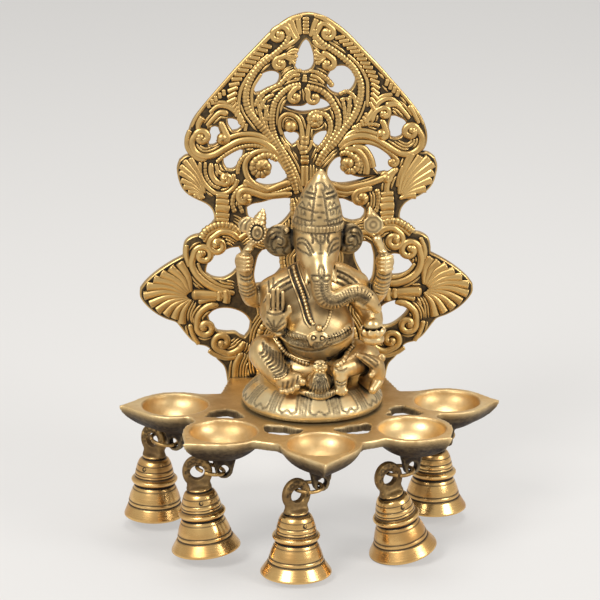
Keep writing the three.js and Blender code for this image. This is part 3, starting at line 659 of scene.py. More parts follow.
def cupHull(cup):
    outline = turnedPoints(leafOutline(cup["tip"] - tray["tipCut"]), cup["angle"] - 90)
    depth = tray["bowlDepth"] + tray["floor"]
    reach = np.abs(outline).max()

    def distance(x, y, z):
        x, y = x - cup["x"], y - cup["y"]
        level = np.clip(-z / depth, 0, 0.999)
        scale = np.maximum((1 - level ** 2) ** 0.55 * (1 - 0.12 * level), 0.05)
        shrunk = outlineGap(x / scale, y / scale, outline) * scale
        return np.maximum(np.maximum(shrunk * 0.85, z), -(z + depth))
    return (cup["x"] - reach, cup["y"] - reach, -depth), (cup["x"] + reach, cup["y"] + reach, 0), distance


def traySkin():
    cell = tray["cell"]
    block = Casting((-102, -150, -28), (100, -3, 3), cell)
    plate, hubY, back, drop = -tray["plate"], tray["hubY"], tray["back"], -tray["lugDrop"]
    half = tray["tongue"] / 2
    block.add(slab(arcPoints(fullTurn(72), tray["hubRadius"], rise=hubY), plate, 0))
    for front, wider, low, blend in ((hubY + 16, 6, plate, 0.6), (back - tray["lip"], 0, tray["foot"], 0.8)):
        corners = [(-half - wider, front), (half + wider, front), (half, back), (-half, back)]
        block.add(slab(corners, low, 0), blend)
    for cup, following in zip(cups, cups[1:]):
        arc = np.radians(np.linspace(cup["angle"] - 90, following["angle"] - 90, 24))
        web = np.vstack([arcPoints(arc, tray["webOuter"]), arcPoints(arc, tray["webInner"])[::-1]])
        block.add(slab(web + [0, hubY], plate, 0), 1.5)
    for cup in cups:
        reach, arm = cup["reach"], cup["arm"] / 2
        bar = [(-reach, -arm), (0, -arm), (0, arm), (-reach, arm)]
        block.add(slab(turnedPoints(bar, cup["angle"] - 90, cup["x"], cup["y"]), plate, 0), 1.2)
        block.add(cupHull(cup), 2.6)
        root = -tray["bowlDepth"] - tray["floor"] + 4
        lug = np.vstack([[(tray["lugRoot"] / 2, root), (-tray["lugRoot"] / 2, root)],
                         arcPoints(np.linspace(math.pi, 2 * math.pi, 14), tray["lugEnd"], rise=drop)])
        block.add(foldedSlab(lug, tray["lugThick"] / 2, cup), 1.3)
    for cup in cups:
        bowl = (tray["bowlRadius"], tray["bowlRadius"], tray["bowlDepth"])
        block.cut(lump((cup["x"], cup["y"], 0), bowl), 0.8)
        block.cut(foldedSlab(arcPoints(fullTurn(20), tray["lugHole"], rise=drop), 6, cup, 0.0), 0.5)
    block.cut(slab(arcPoints(fullTurn(72), tray["boltHole"], rise=hubY), -6, 2))
    for x in (-tray["screwX"], tray["screwX"]):
        hole = [(x, 0, tray["screwZ"]), (x, tray["screwEnd"], tray["screwZ"])]
        block.cut(limb(hole, tray["screwHole"]), 0.1)
    # the file left the top flat; the openings' walls and the underside are painted dark as painted shade,
    # darker towards the bottom
    block.cut(((-110, -150, -0.4), (110, 0, 3), lambda x, y, z: -z + 0 * x + 0 * y), 0.3)
    for opening in trayOpenings:
        block.cut(slab(opening, -7, 2), 0.8)
        block.stainAndShade(slab(opening, -7, -0.5), 0.9, 1.4)
    block.stainAndShade(((-60, -105, -6), (60, 5, -0.4),
                 lambda x, y, z: np.maximum(np.abs(np.hypot(x, y - hubY) - 47.5) - 6.2, z + 0.9)), 0.85, 0.7)
    # painted shade under the tray, darker towards the bottom
    for low, dark in tray["shadeBelow"]:
        below = (-110, -150, -28), (110, 0, low + 2), lambda x, y, z: z - low + 0 * x + 0 * y
        block.stainAndShade(below, dark, 1.1)
    for cup in cups:
        block.stainAndShade(lump((cup["x"], cup["y"], 0), (17.8, 17.8, 12.3)), -0.2, 0.4)
    # nicks that a file left on the rims
    for x, y, width in ((76, -92, 0.9), (72.5, -96, 0.7), (-73, -93, 0.7), (22, -130, 0.6), (-66, -101, 0.6)):
        block.cut(lump((x, y, 0.3), (width, 1.6, 0.9)), 0.3, 0.4)
    return block.mesh()


def foldedSlab(outline, half, cup, round=0.5):
    # an upright plate under a cup, turned to the side to which its ring is folded
    outline = np.asarray(outline, float)
    c, s = math.cos(math.radians(cup["fold"])), math.sin(math.radians(cup["fold"]))
    reach = np.abs(outline[:, 0]).max() + half

    def distance(x, y, z):
        x, y = x - cup["x"], y - cup["y"]
        along, across = x * c + y * s, y * c - x * s
        return plateGap(outlineGap(along + 0 * z, z + 0 * along, outline), np.abs(across) - half, round)
    low = (cup["x"] - reach, cup["y"] - reach, outline[:, 1].min())
    high = (cup["x"] + reach, cup["y"] + reach, outline[:, 1].max())
    return low, high, distance


trayCasting = makePiece("tray_casting", traySkin(), "tray_brass")
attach(trayCasting, "lamp")
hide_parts("lamp_tray")
print("tray", len(trayCasting.data.polygons))


# Bells on their rings, with clappers
bell = {"hole": 41.2, "wireInLoop": 2.4, "pin": 27.0, "loopHole": 3.7, "loopWidth": 15.3, "loopArch": 4.85,
        "loopThick": 4.5, "sides": 68, "eyeCell": 0.32, "pits": 90, "pitSeed": 8}
bellInside = [(0, 31), (3, 30.7), (5, 29.6), (6.4, 28), (7.4, 26), (8.2, 23.8), (8.6, 21.5), (8.8, 18),
              (9.9, 14), (10.9, 10), (11.6, 7.8), (12.4, 5.5), (13.9, 2.8), (15.9, 0)]
bellOutside = [(15.9, 0), (17.4, 0), (17.75, 0.3), (17.6, 1.0), (16.3, 3.1), (15.1, 5.0), (14.35, 6.2),
               (13.85, 6.4), (13.8, 6.8), (14.0, 7.1), (13.75, 8.4), (13.45, 8.6), (13.42, 8.9), (13.5, 9.1),
               (12.9, 11.2), (11.9, 13.8), (11.1, 15.6), (10.6, 16.6), (10.0, 16.9), (9.95, 17.5),
               (10.4, 17.8), (11.6, 18.3), (12.1, 19.2), (12.15, 19.9), (11.7, 20.5), (10.6, 20.9),
               (10.1, 21.2), (10.0, 21.7), (10.3, 22.1), (10.25, 22.7), (10.0, 22.9), (9.95, 23.2),
               (10.1, 23.5), (9.75, 25.0), (9.5, 25.15), (9.48, 25.5), (9.55, 25.7), (9.15, 27.2),
               (8.6, 28.8), (7.9, 30.1), (7.2, 30.8), (6.3, 31.0), (5.7, 31.2), (5.5, 31.6), (6.0, 32.0),
               (5.8, 32.7), (0, 33.0)]
bellGrooves = ((6.6, .55), (8.8, .45), (14.9, .25), (17.2, .8), (21.5, .55), (23.05, .35), (25.35, .4),
               (28.3, .3), (31.5, .6))
pivot = bell["hole"] + bell["wireInLoop"]
ringPlan = {"radius": 7, "wire": 1.0, "inLug": 21.6, "gapAt": 62, "arc": 352, "spread": 0.14, "steps": 110}
clapper = {"eye": 2.2, "eyeWire": 0.76, "shank": 0.78, "spread": 0.15}
clapperShank = [(0, 0, -2.1), (0.1, 0, -8), (-0.1, 0, -14), (0, 0, -20.8)]
clapperBall = [(0, -24.8), (1.6, -24.5), (3.1, -23.4), (3.85, -21.9), (4.0, -20.8), (3.85, -19.7),
               (3.1, -18.3), (1.9, -17.3), (1.15, -16.7), (0.95, -16.0), (0, -15.8)]
# the mouth of the pin's hole, a disc painted dark as painted shade, and the bright end in it: profile, place
# on the wall, tarnish and painted shade
pinEnds = (([(0, 8.0), (1.1, 8.0), (1.14, 9.2), (1.05, 9.27), (0, 9.28)], (0, 0), 1.0),
           ([(0, 9.0), (0.6, 9.0), (0.62, 9.34), (0.45, 9.42), (0, 9.44)], (-0.3, 0.2), 0.05))


def hangerMatrix(cup):
    # the wire's place in the lug, with X along the way in which the ring is folded
    return (Matrix.Translation((cup["x"], cup["y"], -ringPlan["inLug"]))
            @ Matrix.Rotation(math.radians(cup["fold"]), 4, "Z"))


def bellMatrix(cup):
    reach = 2 * ringPlan["radius"] * math.sin(math.radians(cup["raise"]))
    drop = 2 * ringPlan["radius"] * math.cos(math.radians(cup["raise"]))
    return (hangerMatrix(cup) @ Matrix.Translation((reach, 0, -drop))
            @ Matrix.Rotation(math.radians(cup["lean"]), 4, "Y"))


def pinMatrix(cup):
    return bellMatrix(cup) @ Matrix.Translation((0, 0, bell["pin"] - pivot))


def moved(skin, matrix):
    points, faces, tarnishAndShade = skin
    matrix = np.array(matrix)
    return points @ matrix[:3, :3].T + matrix[:3, 3], faces, tarnishAndShade


def bellEye():
    # the thick cast loop on top of a bell, rough from the mould
    block = Casting((-9.5, -7.5, -13.5), (9.5, 7.5, 8), bell["eyeCell"])
    hole, down, half = bell["loopHole"], -bell["wireInLoop"], bell["loopThick"] / 2
    turn = np.radians(np.linspace(-38, 218, 40))
    arch = arcPoints(turn, bell["loopWidth"] / 2, hole + bell["loopArch"], down)
    foot = 31.6 - pivot
    block.add(slab(np.vstack([arch, [(-5.6, foot), (5.6, foot)]]), -half, half, 1, 1.7))
    block.add(lump((0, 0, 32.6 - pivot), (6.2, 5.4, 1.5)), 2.0)
    block.cut(slab(arcPoints(fullTurn(36), hole, rise=down), -4, 4, 1), 0.9)
    # pits from the mould
    seed = np.random.default_rng(bell["pitSeed"])
    for i in range(bell["pits"]):
        angle, reach, size = seed.uniform(-0.6, 3.75), hole + seed.uniform(0.6, 5.2), seed.uniform(0.35, 0.85)
        spot = (reach * math.cos(angle), half if i % 2 else -half, reach * math.sin(angle) + down)
        block.cut(lump(spot, (size, 0.4, size * 0.8)), 0.25, 0.6, 0.5)
    block.stainAndShade(lump((0, 0, -9), (9, 6, 6)), 0.25, 2.0)
    return block.mesh()


def addBell(number, cup):
    body = "bell_%d" % number
    points, faces, rings = turnedBody(bellInside + bellOutside, bell["sides"], 0.55)
    radii, heights = np.repeat(rings, bell["sides"], 0).T
    outer = np.repeat(np.arange(len(rings)) > len(rings) * 0.42, bell["sides"])
    seed = np.random.default_rng(number)
    # the lathe leaves each bell a little out of round
    turn = np.arctan2(points[:, 1], points[:, 0])
    first, second = seed.uniform(0, 6, 2)
    wave = 0.994 + 0.003 * np.sin(2 * turn + first) + 0.002 * np.sin(3 * turn + second)
    flare = 1 + (cup.get("flare", 1.0) - 1) * np.clip(1 - heights / 9, 0, 1)
    points[:, :2] *= (wave * flare)[:, None]
    # the lathe's grooves are painted dark, painted shade with patina, and the inside of the bell darker as
    # painted shade
    groove = np.zeros(len(points))
    for height, width in bellGrooves:
        groove = np.maximum(groove, 0.95 * np.clip(1.3 - np.abs(heights - height) / width, 0, 1))
    groove = np.where(outer, groove, np.where(heights > 3, 0.45, 0))
    points[:, 2] -= pivot
    eyePoints, eyeFaces, eyeTarnish = eyeMesh
    skin = joinParts([(points, faces, groove), (eyePoints, eyeFaces, 0.12 + eyeTarnish)])
    turned = np.concatenate([heights + 0.37 * radii + seed.uniform(0, 40), np.zeros(len(eyePoints))])
    made = makePiece("%s_turned" % body, moved(skin, bellMatrix(cup)), "bell_brass", turned=turned)
    made.data.materials.append(finishes["dark_brass"])
    inEye = np.zeros(len(made.data.polygons), np.int32)
    inEye[len(faces):] = 1
    made.data.polygons.foreach_set("material_index", inEye[:len(made.data.polygons)])
    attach(made, body)
    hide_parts(body)
    # the pin's two ends, each in its hole's mouth painted dark as painted shade, lying along the slope of the
    # wall
    ends = []
    for side in (-1, 1):
        for profile, spot, shade in pinEnds:
            endPoints, endFaces, _ = turnedBody(profile, 24, 0.15)
            endPoints = endPoints[:, [0, 2, 1]] + [spot[0], 0, spot[1]]
            endPoints[:, 1] = (endPoints[:, 1] - 0.27 * endPoints[:, 2]) * side
            ends.append((endPoints, endFaces if side < 0 else endFaces[:, ::-1],
                         np.full(len(endPoints), shade)))
    shank, _ = smoothPath([(0, -8.1, 0), (0, 8.1, 0)], 1.0)
    ends.append(tubeAlong(shank, 0.82, 12))
    pinPiece = makePiece("clapper_pin_%d_peened" % number, moved(joinParts(ends), pinMatrix(cup)),
                         "dark_brass")
    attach(pinPiece, body)
    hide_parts("clapper_pin_%d" % number)


def addRing(number, cup):
    # bent wire: its ends nearly meet at the outer side, one a little raised
    r, start, steps = ringPlan["radius"], ringPlan["gapAt"], ringPlan["steps"]
    turn = np.radians(np.linspace(start, start + ringPlan["arc"], steps))
    path = np.column_stack([arcPoints(turn, r), np.linspace(-ringPlan["spread"], ringPlan["spread"], steps)])
    wobble = 1 - 0.04 * (1 + np.sin(turn * 9 + number)) / 2
    skin = tubeAlong(path, ringPlan["wire"] * wobble, 14, front=(0, 0, 1))
    fold = math.radians(90 - cup["raise"])
    matrix = (hangerMatrix(cup) @ Matrix.Translation((r * math.cos(fold), 0, -r * math.sin(fold)))
              @ Matrix.Rotation(fold, 4, "Y"))
    made = makePiece("bell_ring_%d_wire" % number, moved(skin, matrix), "dark_brass")
    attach(made, "ring_%d" % number)
    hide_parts("bell_ring_%d" % number)


def addClapper(number, cup):
    eye = arcPoints(np.radians(np.linspace(-84, 262, 40)), clapper["eye"])
    eye = np.stack([eye[:, 0], np.linspace(-clapper["spread"], clapper["spread"], len(eye)), eye[:, 1]], 1)
    shank, _ = smoothPath(clapperShank, 0.8)
    ballPoints, ballFaces, _ = turnedBody(clapperBall, 40, 0.6)
    skin = joinParts([tubeAlong(eye, clapper["eyeWire"], 10, front=(0, 1, 0)),
                      tubeAlong(shank, clapper["shank"], 10), (ballPoints, ballFaces)])
    place = pinMatrix(cup) @ Matrix.Rotation(-math.radians(cup["lean"]), 4, "Y")
    made = makePiece("clapper_%d_bent" % number, moved(skin, place), "dark_brass")
    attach(made, "clapper_%d" % number)
    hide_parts("clapper_%d" % number)


eyeMesh = bellEye()
for number, cup in enumerate(cups, 1):
    addBell(number, cup)
    addRing(number, cup)
    addClapper(number, cup)
print("bells, rings and clappers")


# Back panel: the pierced plate, then the scrolls that stand on it
# ground: how dark the plate's face between the strands is painted, as painted shade
panel = {"front": -5.1, "bevel": 1.0, "seat": -5.4, "bold": 1.38, "ground": 0.85, "pace": 0.38,
         "beadPitch": 1.45, "beadDepth": 0.22}


def capLoops(node, axis, level, tolerance=0.3):
    # the edges of a flat face of a solid, as closed runs of points
    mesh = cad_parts[node].data
    co = np.array([v.co for v in mesh.vertices]) / mm
    flat = np.abs(co[:, axis] - level) < tolerance
    keys = [tuple(np.round(p, 2)) for p in co]
    count = {}
    for polygon in mesh.polygons:
        corners = list(polygon.vertices)
        if all(flat[i] for i in corners):
            for a, b in zip(corners, corners[1:] + corners[:1]):
                count[(keys[a], keys[b])] = count.get((keys[a], keys[b]), 0) + 1
    following = {a: b for a, b in count if (b, a) not in count}
    others = [i for i in range(3) if i != axis]
    loops = []
    while following:
        start = next(iter(following))
        loop, here = [], start
        while here in following:
            loop.append([here[i] for i in others])
            here = following.pop(here)
        if len(loop) > 5:
            loops.append(np.array(loop))
    return loops


def roundedLoop(loop, sharp=38, detail=4):
    # smooth the short straights of a solid's edge but keep its sharp corners
    count = len(loop)
    ahead = np.roll(loop, -1, 0) - loop
    behind = loop - np.roll(loop, 1, 0)
    bend = np.abs(np.degrees(np.arctan2(ahead[:, 0] * behind[:, 1] - ahead[:, 1] * behind[:, 0],
                                        (ahead * behind).sum(1))))
    corner = bend > sharp
    result = []
    for i in range(count):
        b, c = loop[i], loop[(i + 1) % count]
        a = b - (c - b) if corner[i] else loop[i - 1]
        d = c + (c - b) if corner[(i + 1) % count] else loop[(i + 2) % count]
        result += [curveBetween(a, b, c, d, t) for t in np.arange(detail) / detail]
    return np.array(result)


panelLoops = sorted((roundedLoop(loop) for loop in capLoops("back_panel", 1, 0.0, 0.05)),
                    key=lambda loop: -np.ptp(loop[:, 0]))


def addPanelPlate():
    curve = bpy.data.curves.new("panel_plate", "CURVE")
    curve.dimensions = "2D"
    curve.fill_mode = "BOTH"
    for smooth in panelLoops:
        spline = curve.splines.new("POLY")
        spline.points.add(len(smooth) - 1)
        spline.points.foreach_set("co", np.column_stack([smooth * mm, np.zeros(len(smooth)),
                                                         np.ones(len(smooth))]).ravel())
        spline.use_cyclic_u = True
    half = -panel["front"] / 2
    curve.extrude = (half - panel["bevel"]) * mm
    curve.bevel_depth = panel["bevel"] * mm
    curve.bevel_resolution = 3
    curve.offset = -panel["bevel"] * mm
    holder = bpy.data.objects.new("panel_plate", curve)
    scene.collection.objects.link(holder)
    bpy.context.view_layer.update()
    mesh = bpy.data.meshes.new_from_object(holder.evaluated_get(bpy.context.evaluated_depsgraph_get()))
    bpy.data.objects.remove(holder)
    mesh.transform(Matrix.Translation((0, -half * mm, 0)) @ Matrix.Rotation(math.radians(90), 4, "X"))
    mesh.materials.clear()
    mesh.materials.append(finishes["carved_brass"])
    tarnishAndShade = mesh.attributes.new("tarnishAndShade", "FLOAT", "POINT")
    depth = np.array([vertex.co.y for vertex in mesh.vertices]) / mm
    # the plate's face between the strands is painted dark: painted shade between the raised lines
    tarnishAndShade.data.foreach_set("value", np.where(depth < panel["front"] + 0.05, panel["ground"], 0.0))
    mesh.shade_smooth()
    piece = bpy.data.objects.new("panel_plate", mesh)
    scene.collection.objects.link(piece)
    return piece


panelPlate = addPanelPlate()
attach(panelPlate, "lamp")
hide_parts("back_panel")
print("panel plate", len(panelPlate.data.polygons))


laid = []   # the panel's lines as far as they are laid, each with its half widths
relief = []   # their meshes


def strand(points, radius, end=None, ribs=0.0, curl=None, start=0.5, lift=0.0, flat=0.66, mirror=1):
    # lays one raised line of the casting. ribs is the spacing of its beads, curl is (turns, radius, side)
    # of its volute, and mirror is -1 for the left one of a pair
    pace = panel["pace"]
    path, along = smoothPath(np.array(points, float) * [mirror, 1], pace)
    ribs = ribs * panel["beadPitch"]
    radius, end = panel["bold"] * radius, panel["bold"] * (radius if end is None else end)
    if curl:
        turns, size, side = curl[0], curl[1], curl[2] * mirror
        head = path[-1] - path[-2]
        heading = math.atan2(head[1], head[0])
        angle, spot, extra = 0.0, path[-1].copy(), []
        total = turns * 2 * math.pi
        while angle < total:
            bendRadius = size * (1 - angle / total) ** 0.8 + 0.45 * radius
            angle += pace / bendRadius
            spot = spot + pace * np.array([math.cos(heading + side * angle),
                                           math.sin(heading + side * angle)])
            extra.append(spot)
        path = np.vstack([path, extra])
        along = np.arange(len(path)) * pace
    share = along / along[-1]
    size = radius + (end - radius) * share
    size = size * np.minimum(1, start + (1 - start) * share / 0.08)
    if curl:
        last = along[-1] - along
        size = size * (1 + 0.55 * np.exp(-(last / (1.6 * radius)) ** 2))   # the ball in a volute's eye
    laid.append((path[::2], size[::2]))
    dark = np.zeros(len(path))
    if ribs:
        fine = max(1, int(round(pace / (ribs / 6))))
        if fine > 1:
            more = np.linspace(0, len(path) - 1, len(path) * fine)
            index = np.arange(len(path))
            path = np.stack([np.interp(more, index, path[:, i]) for i in (0, 1)], 1)
            size = np.interp(more, index, size)
            along = np.interp(more, index, along)
        keep, dark = beading(along, ribs, panel["beadDepth"])
        size = size * keep
    place = np.stack([path[:, 0], panel["seat"] + 0.15 * size - lift, path[:, 1]], 1)
    relief.append(tubeAlong(place, size, 8, flat, front=(0, -1, 0), marks=dark))
    if curl:
        addBoss(place[-1], max(1.3 * end, 0.42 * curl[1]))


def addBoss(place, radius):
    # a low round boss, as in the eye of a volute
    points, faces = knob(radius, 0.75, 9, 20)
    relief.append((points[:, [0, 2, 1]] * [1, -1, 1] + place, faces))


def shellFan(pivotPoint, boundary, count, bend=0.08, lift=0.3):
    # broad ribs that spread from a pivot and touch side by side at the edge
    edge, along = smoothPath(boundary, 0.5)
    pivotPoint = np.array(pivotPoint, float)
    size = along[-1] / count / 2 / panel["bold"] * 0.98
    for share in (np.arange(count) + 0.5) / count:
        reach = edge[int(share * (len(edge) - 1))] - pivotPoint
        tries = np.linspace(0.6, 1.15 if count > 6 else 0.95, 40)
        gap = outlineGap(pivotPoint[0] + reach[0] * tries, pivotPoint[1] + reach[1] * tries,
                         panelLoops[0][::2])
        kept = tries[gap < -0.6 * size * panel["bold"]]
        far = pivotPoint + reach * (kept[-1] if len(kept) else tries[0])
        middle = pivotPoint + reach * 0.55 + np.array([-reach[1], reach[0]]) * bend
        strand([pivotPoint + reach * 0.12, middle, far], size * 0.34, size, lift=lift, start=0.7, flat=0.62)


def ropeAlong(points, width, pitch, lean):
    # a twisted rope moulding: short slanted lobes side by side
    path, along = smoothPath(points, 0.2)
    for spot in np.arange(pitch / 2, along[-1], pitch):
        here = int(spot / along[-1] * (len(path) - 1))
        ahead = path[min(here + 1, len(path) - 1)] - path[max(here - 1, 0)]
        heading = math.atan2(ahead[1], ahead[0]) + math.radians(lean)
        reach = width / 2 * np.array([math.cos(heading), math.sin(heading)])
        lobe = [path[here] - reach, path[here], path[here] + reach]
        strand(lobe, pitch * 0.34, start=0.8, lift=0.2, flat=0.9)


def layScrolls():
    # upper tier: the two ribbed stems on each side and the plain bands between them
    leftStem = [(-5.5, 100), (-7, 106), (-9.5, 113), (-14, 122.5), (-19.5, 131), (-26, 138.5), (-31, 146),
                (-32, 154), (-29.5, 162), (-25, 168.5), (-17.5, 174.5), (-13, 178.5), (-10.5, 182.5),
                (-9.5, 187)]
    rightStem = [(4.5, 115.5), (9, 122.5), (14, 127.5), (18.5, 134), (23, 140), (26, 146.5), (27.5, 153.5),
                 (27, 160), (23.5, 167), (18, 172.5), (12, 177), (7.5, 180), (4, 184), (3.5, 188)]
    strand(leftStem, 2.0, 1.3, ribs=1.35)
    strand(rightStem, 1.9, 1.3, ribs=1.35)
    leftInner = [(-5, 106), (-8, 114.5), (-12.5, 122.5), (-16.5, 129.5), (-18.5, 136.5), (-18.5, 143),
                 (-17, 149.5), (-13, 154.5), (-8.5, 157.5), (-3.5, 158.5)]
    rightInner = [(5, 115), (7.5, 120), (11.5, 127), (15, 133.5), (16, 138.5), (15.5, 143), (13.5, 147.5),
                  (10.5, 152), (6, 155.5), (-1, 157.5)]
    strand(leftInner, 1.6, 1.3, ribs=1.2)
    strand(rightInner, 1.6, 1.4, ribs=1.5)
    strand([(-3.5, 157.5), (-6.5, 156.5), (-9, 153.5)], 1.2, 1.1, curl=(0.75, 2.0, 1), lift=0.2)
    strand([(-1.5, 157), (0, 154.5), (0, 151.5)], 1.2, 1.0, curl=(0.7, 2.2, 1), lift=0.2)
    # plain edge bands beside the stems
    strand([(-3, 101), (-5, 109), (-8, 116), (-10.5, 121)], 0.9, 0.7)
    strand([(-24, 137), (-28, 143), (-29, 150), (-28.5, 157), (-24, 164.5)], 0.8, 0.6)
    strand([(-35.5, 139), (-36, 146), (-35, 155), (-31, 163), (-25.5, 170), (-20, 174.5)], 0.9, 0.7)
    strand([(31, 146), (31, 153.5), (30.5, 160.5), (26.5, 168), (20.5, 174)], 0.8, 0.7)
    # leaf between the stems
    for points, size in (
            ([(-19, 129), (-22.5, 136), (-24.5, 143), (-26, 150)], 1.5),
            ([(-16.5, 127), (-21, 135), (-22, 142), (-20.5, 148)], 1.2),
            ([(-20, 139), (-22, 146), (-24.5, 150.5), (-22.5, 154)], 1.1)):
        strand(points, size, 0.7, ribs=1.6, start=0.4)
    for points, size in (
            ([(19.5, 134.5), (21, 141), (21.5, 147), (22, 152.5)], 1.5),
            ([(17, 131), (19.3, 138), (19, 145), (18, 150.5)], 1.2)):
        strand(points, size, 0.8, ribs=1.6, start=0.4)
    for points, size in (
            ([(-27.5, 147), (-24.5, 153), (-19, 156.5), (-13.5, 159)], 1.2),
            ([(-25, 145), (-22, 151), (-17.5, 153.5)], 1.0),
            ([(25.5, 146), (24, 151.5), (20.5, 154.5), (16, 153)], 1.2),
            ([(22.5, 145.5), (20.5, 150.5), (16.5, 150)], 0.9),
            ([(-15.5, 157.5), (-11.5, 162), (-7, 165.2), (-3, 165.8)], 1.2),
            ([(13, 157), (9.5, 161.5), (5, 164.8), (0.5, 165.6)], 1.2)):
        strand(points, size, 0.8, ribs=1.5, start=0.5)
    # flutes beside the topmost window
    shellFan((-13, 173), [(-5.8, 178.5), (-5.2, 173.5), (-6.6, 167.5)], 5)
    shellFan((10, 173), [(2.8, 178), (2.4, 173.5), (3.8, 168)], 4)
    # C volutes in the heart of the upper tier, the left one round a ball
    addBoss(np.array([-8.9, -6.2, 136.6]), 3.4)
    strand([(-2.5, 127), (-2.8, 132.5), (-4.2, 138.6), (-7, 142), (-11, 143), (-14.2, 140.4), (-14.6, 136),
            (-13.2, 132)], 1.0, 0.8, lift=0.3)
    strand([(4.5, 122.5), (9, 128), (11.5, 133), (11.7, 138), (9.5, 142), (5.8, 143.5)], 1.1, 1.5, ribs=1.3,
           curl=(1.15, 3.3, 1), lift=0.2)
    strand([(-0.5, 126), (0, 133), (1, 138), (2.5, 141.5)], 1.0, 0.8)
    # fountain stem between the stems' feet
    for points, size, ribs in (
            ([(-1.5, 104), (-1.5, 110), (-1.5, 115.5)], 1.7, 0),
            ([(-3.8, 117.2), (-1.5, 117.5), (0.8, 117.2)], 1.2, 0),
            ([(-3.6, 119.6), (-1.5, 119.8), (0.6, 119.6)], 1.0, 0),
            ([(-1.8, 121), (-2.2, 124.5), (-1.8, 128), (-1.5, 131.5)], 1.9, 1.9)):
        strand(points, size, ribs=ribs, start=0.8)
    strand([(-1.6, 122), (-4.4, 125), (-5.4, 129)], 0.8, 0.6)
    strand([(-1.4, 122), (1.2, 125), (2.2, 129)], 0.8, 0.6)
    # crown of the panel: fan of flutes, a ladder and two volutes
    for points in (
            [(-6, 181.5), (-8.5, 185.5), (-10.5, 189.5), (-12, 191.5)],
            [(-5, 183), (-7, 187.5), (-8.5, 191.5), (-9.5, 193)], [(-4, 184.5), (-4.8, 189), (-5.3, 193.5)],
            [(1, 183.5), (2.3, 187.5), (3.3, 190.5), (4.5, 193)],
            [(2.6, 182), (4.6, 186), (6.4, 189.5), (7.6, 191.6)]):
        strand(points, 0.85, 1.3, start=0.6)
    for height in (185.6, 187.4, 189.2, 191, 192.8):
        strand([(-3, height), (-1.3, height + 0.2), (0.5, height)], 0.75, start=0.8)
    strand([(-10.5, 184.5), (-11, 187.5), (-14, 189), (-17, 187.5)], 1.2, 1.2, curl=(0.85, 2.6, 1), lift=0.25)
    strand([(4.5, 186.5), (6, 189.8), (9, 190.2), (12, 188)], 1.1, 1.2, curl=(0.9, 2.7, -1), lift=0.25)
    strand([(-13.5, 177.5), (-10, 179.5), (-7, 181.5), (-4.5, 184)], 1.1, 0.9)
    strand([(9.5, 177), (5, 179), (2.5, 182)], 1.0, 0.9)
    # leaf volutes under the crown
    strand([(-10, 175), (-12.5, 173.5), (-15.5, 172.5)], 1.2, 1.2, curl=(0.85, 2.3, 1), lift=0.2)
    strand([(7, 175.5), (10, 174), (12.5, 172)], 1.3, 1.2, curl=(0.7, 2.4, -1), lift=0.2)
    for points in (
            [(-4.8, 177), (-8.5, 175.5), (-10.5, 172)], [(-5.2, 174), (-8, 172.5), (-9.5, 169)],
            [(3, 176.5), (5.5, 174.5), (7, 171.5)], [(3.6, 173.5), (5.2, 171.5), (5.8, 168.5)],
            [(-4, 163.8), (-8, 163), (-11, 160.3)], [(-6.5, 166), (-10, 164.5), (-12.8, 161.8)],
            [(1, 163.5), (5, 162), (8.5, 158.5)], [(3.8, 165.5), (7, 163), (10, 160.2)]):
        strand(points, 0.9, 0.6)
    strand([(-1.8, 159.5), (-1.7, 161.5), (-1.6, 163.8)], 1.3, 0.9, ribs=1.2)
    # the rim: a plain roll outside, the slanted leaf rope inside it
    rimLeft = [(-3, 194.6), (-9.3, 192.3), (-18, 186), (-27.6, 176.4), (-36.2, 167.4), (-43.7, 158.9),
               (-51.2, 150.3), (-57.0, 142.8), (-60.4, 136.4)]
    strand(rimLeft, 1.3, 0.6)
    strand(rimLeft, 1.2, 0.6, mirror=-1)
    ropeAlong([(-20.5, 180), (-28, 172.5), (-35, 164.5), (-38.5, 158), (-39.5, 150)], 6.0, 2.9, -58)
    ropeAlong([(15.5, 184), (22, 178), (28, 171.5), (32.5, 164.5), (34.8, 158.5), (34.5, 151),
               (32.5, 144.5)], 5.6, 2.7, 52)
    ropeAlong([(-38.5, 151), (-37, 145), (-34.5, 139.5), (-31, 134.5)], 4.4, 2.2, -50)
    ropeAlong([(31, 142.5), (28, 137.5), (24, 133)], 4.0, 2.2, 52)
    ropeAlong([(-42.5, 155.5), (-47.5, 151.8), (-52, 147.6)], 3.6, 2.6, 60)
    ropeAlong([(40, 160), (43.5, 156.5), (48, 152)], 4.0, 2.7, -60)
    # hoods over the side volutes
    for points, size in (
            ([(-33.5, 137), (-36, 143), (-41, 147), (-46.5, 147.5), (-51, 144)], 1.5),
            ([(-34.5, 140), (-38, 146), (-43.5, 149.5), (-49.5, 149)], 0.9),
            ([(-41, 143.5), (-45.5, 144), (-49.5, 140.5), (-52.5, 137)], 1.4),
            ([(-54, 142), (-56.5, 138.5), (-57, 134.5)], 1.8),
            ([(29, 137), (33.5, 143.5), (37.5, 149), (43, 150.5), (49, 146)], 1.5),
            ([(33.5, 146.5), (38, 151.5), (44, 153)], 0.9),
            ([(40, 147), (45.5, 147.5), (50, 143.5), (53, 139.5)], 1.5),
            ([(52.5, 147), (55.5, 142), (58, 137)], 1.3)):
        strand(points, size, 0.8)
    strand([(33, 138), (35, 143.5), (38.5, 145.5)], 1.1, 1.1, curl=(0.8, 2.2, -1), lift=0.2)
    strand([(-45.5, 139.5), (-43.5, 135.5), (-41.8, 131.5)], 1.2, 1.6, curl=(0.5, 1.2, -1))
    strand([(38, 139.5), (39.8, 136.5), (41, 132.5)], 1.2, 1.6, curl=(0.5, 1.2, -1))
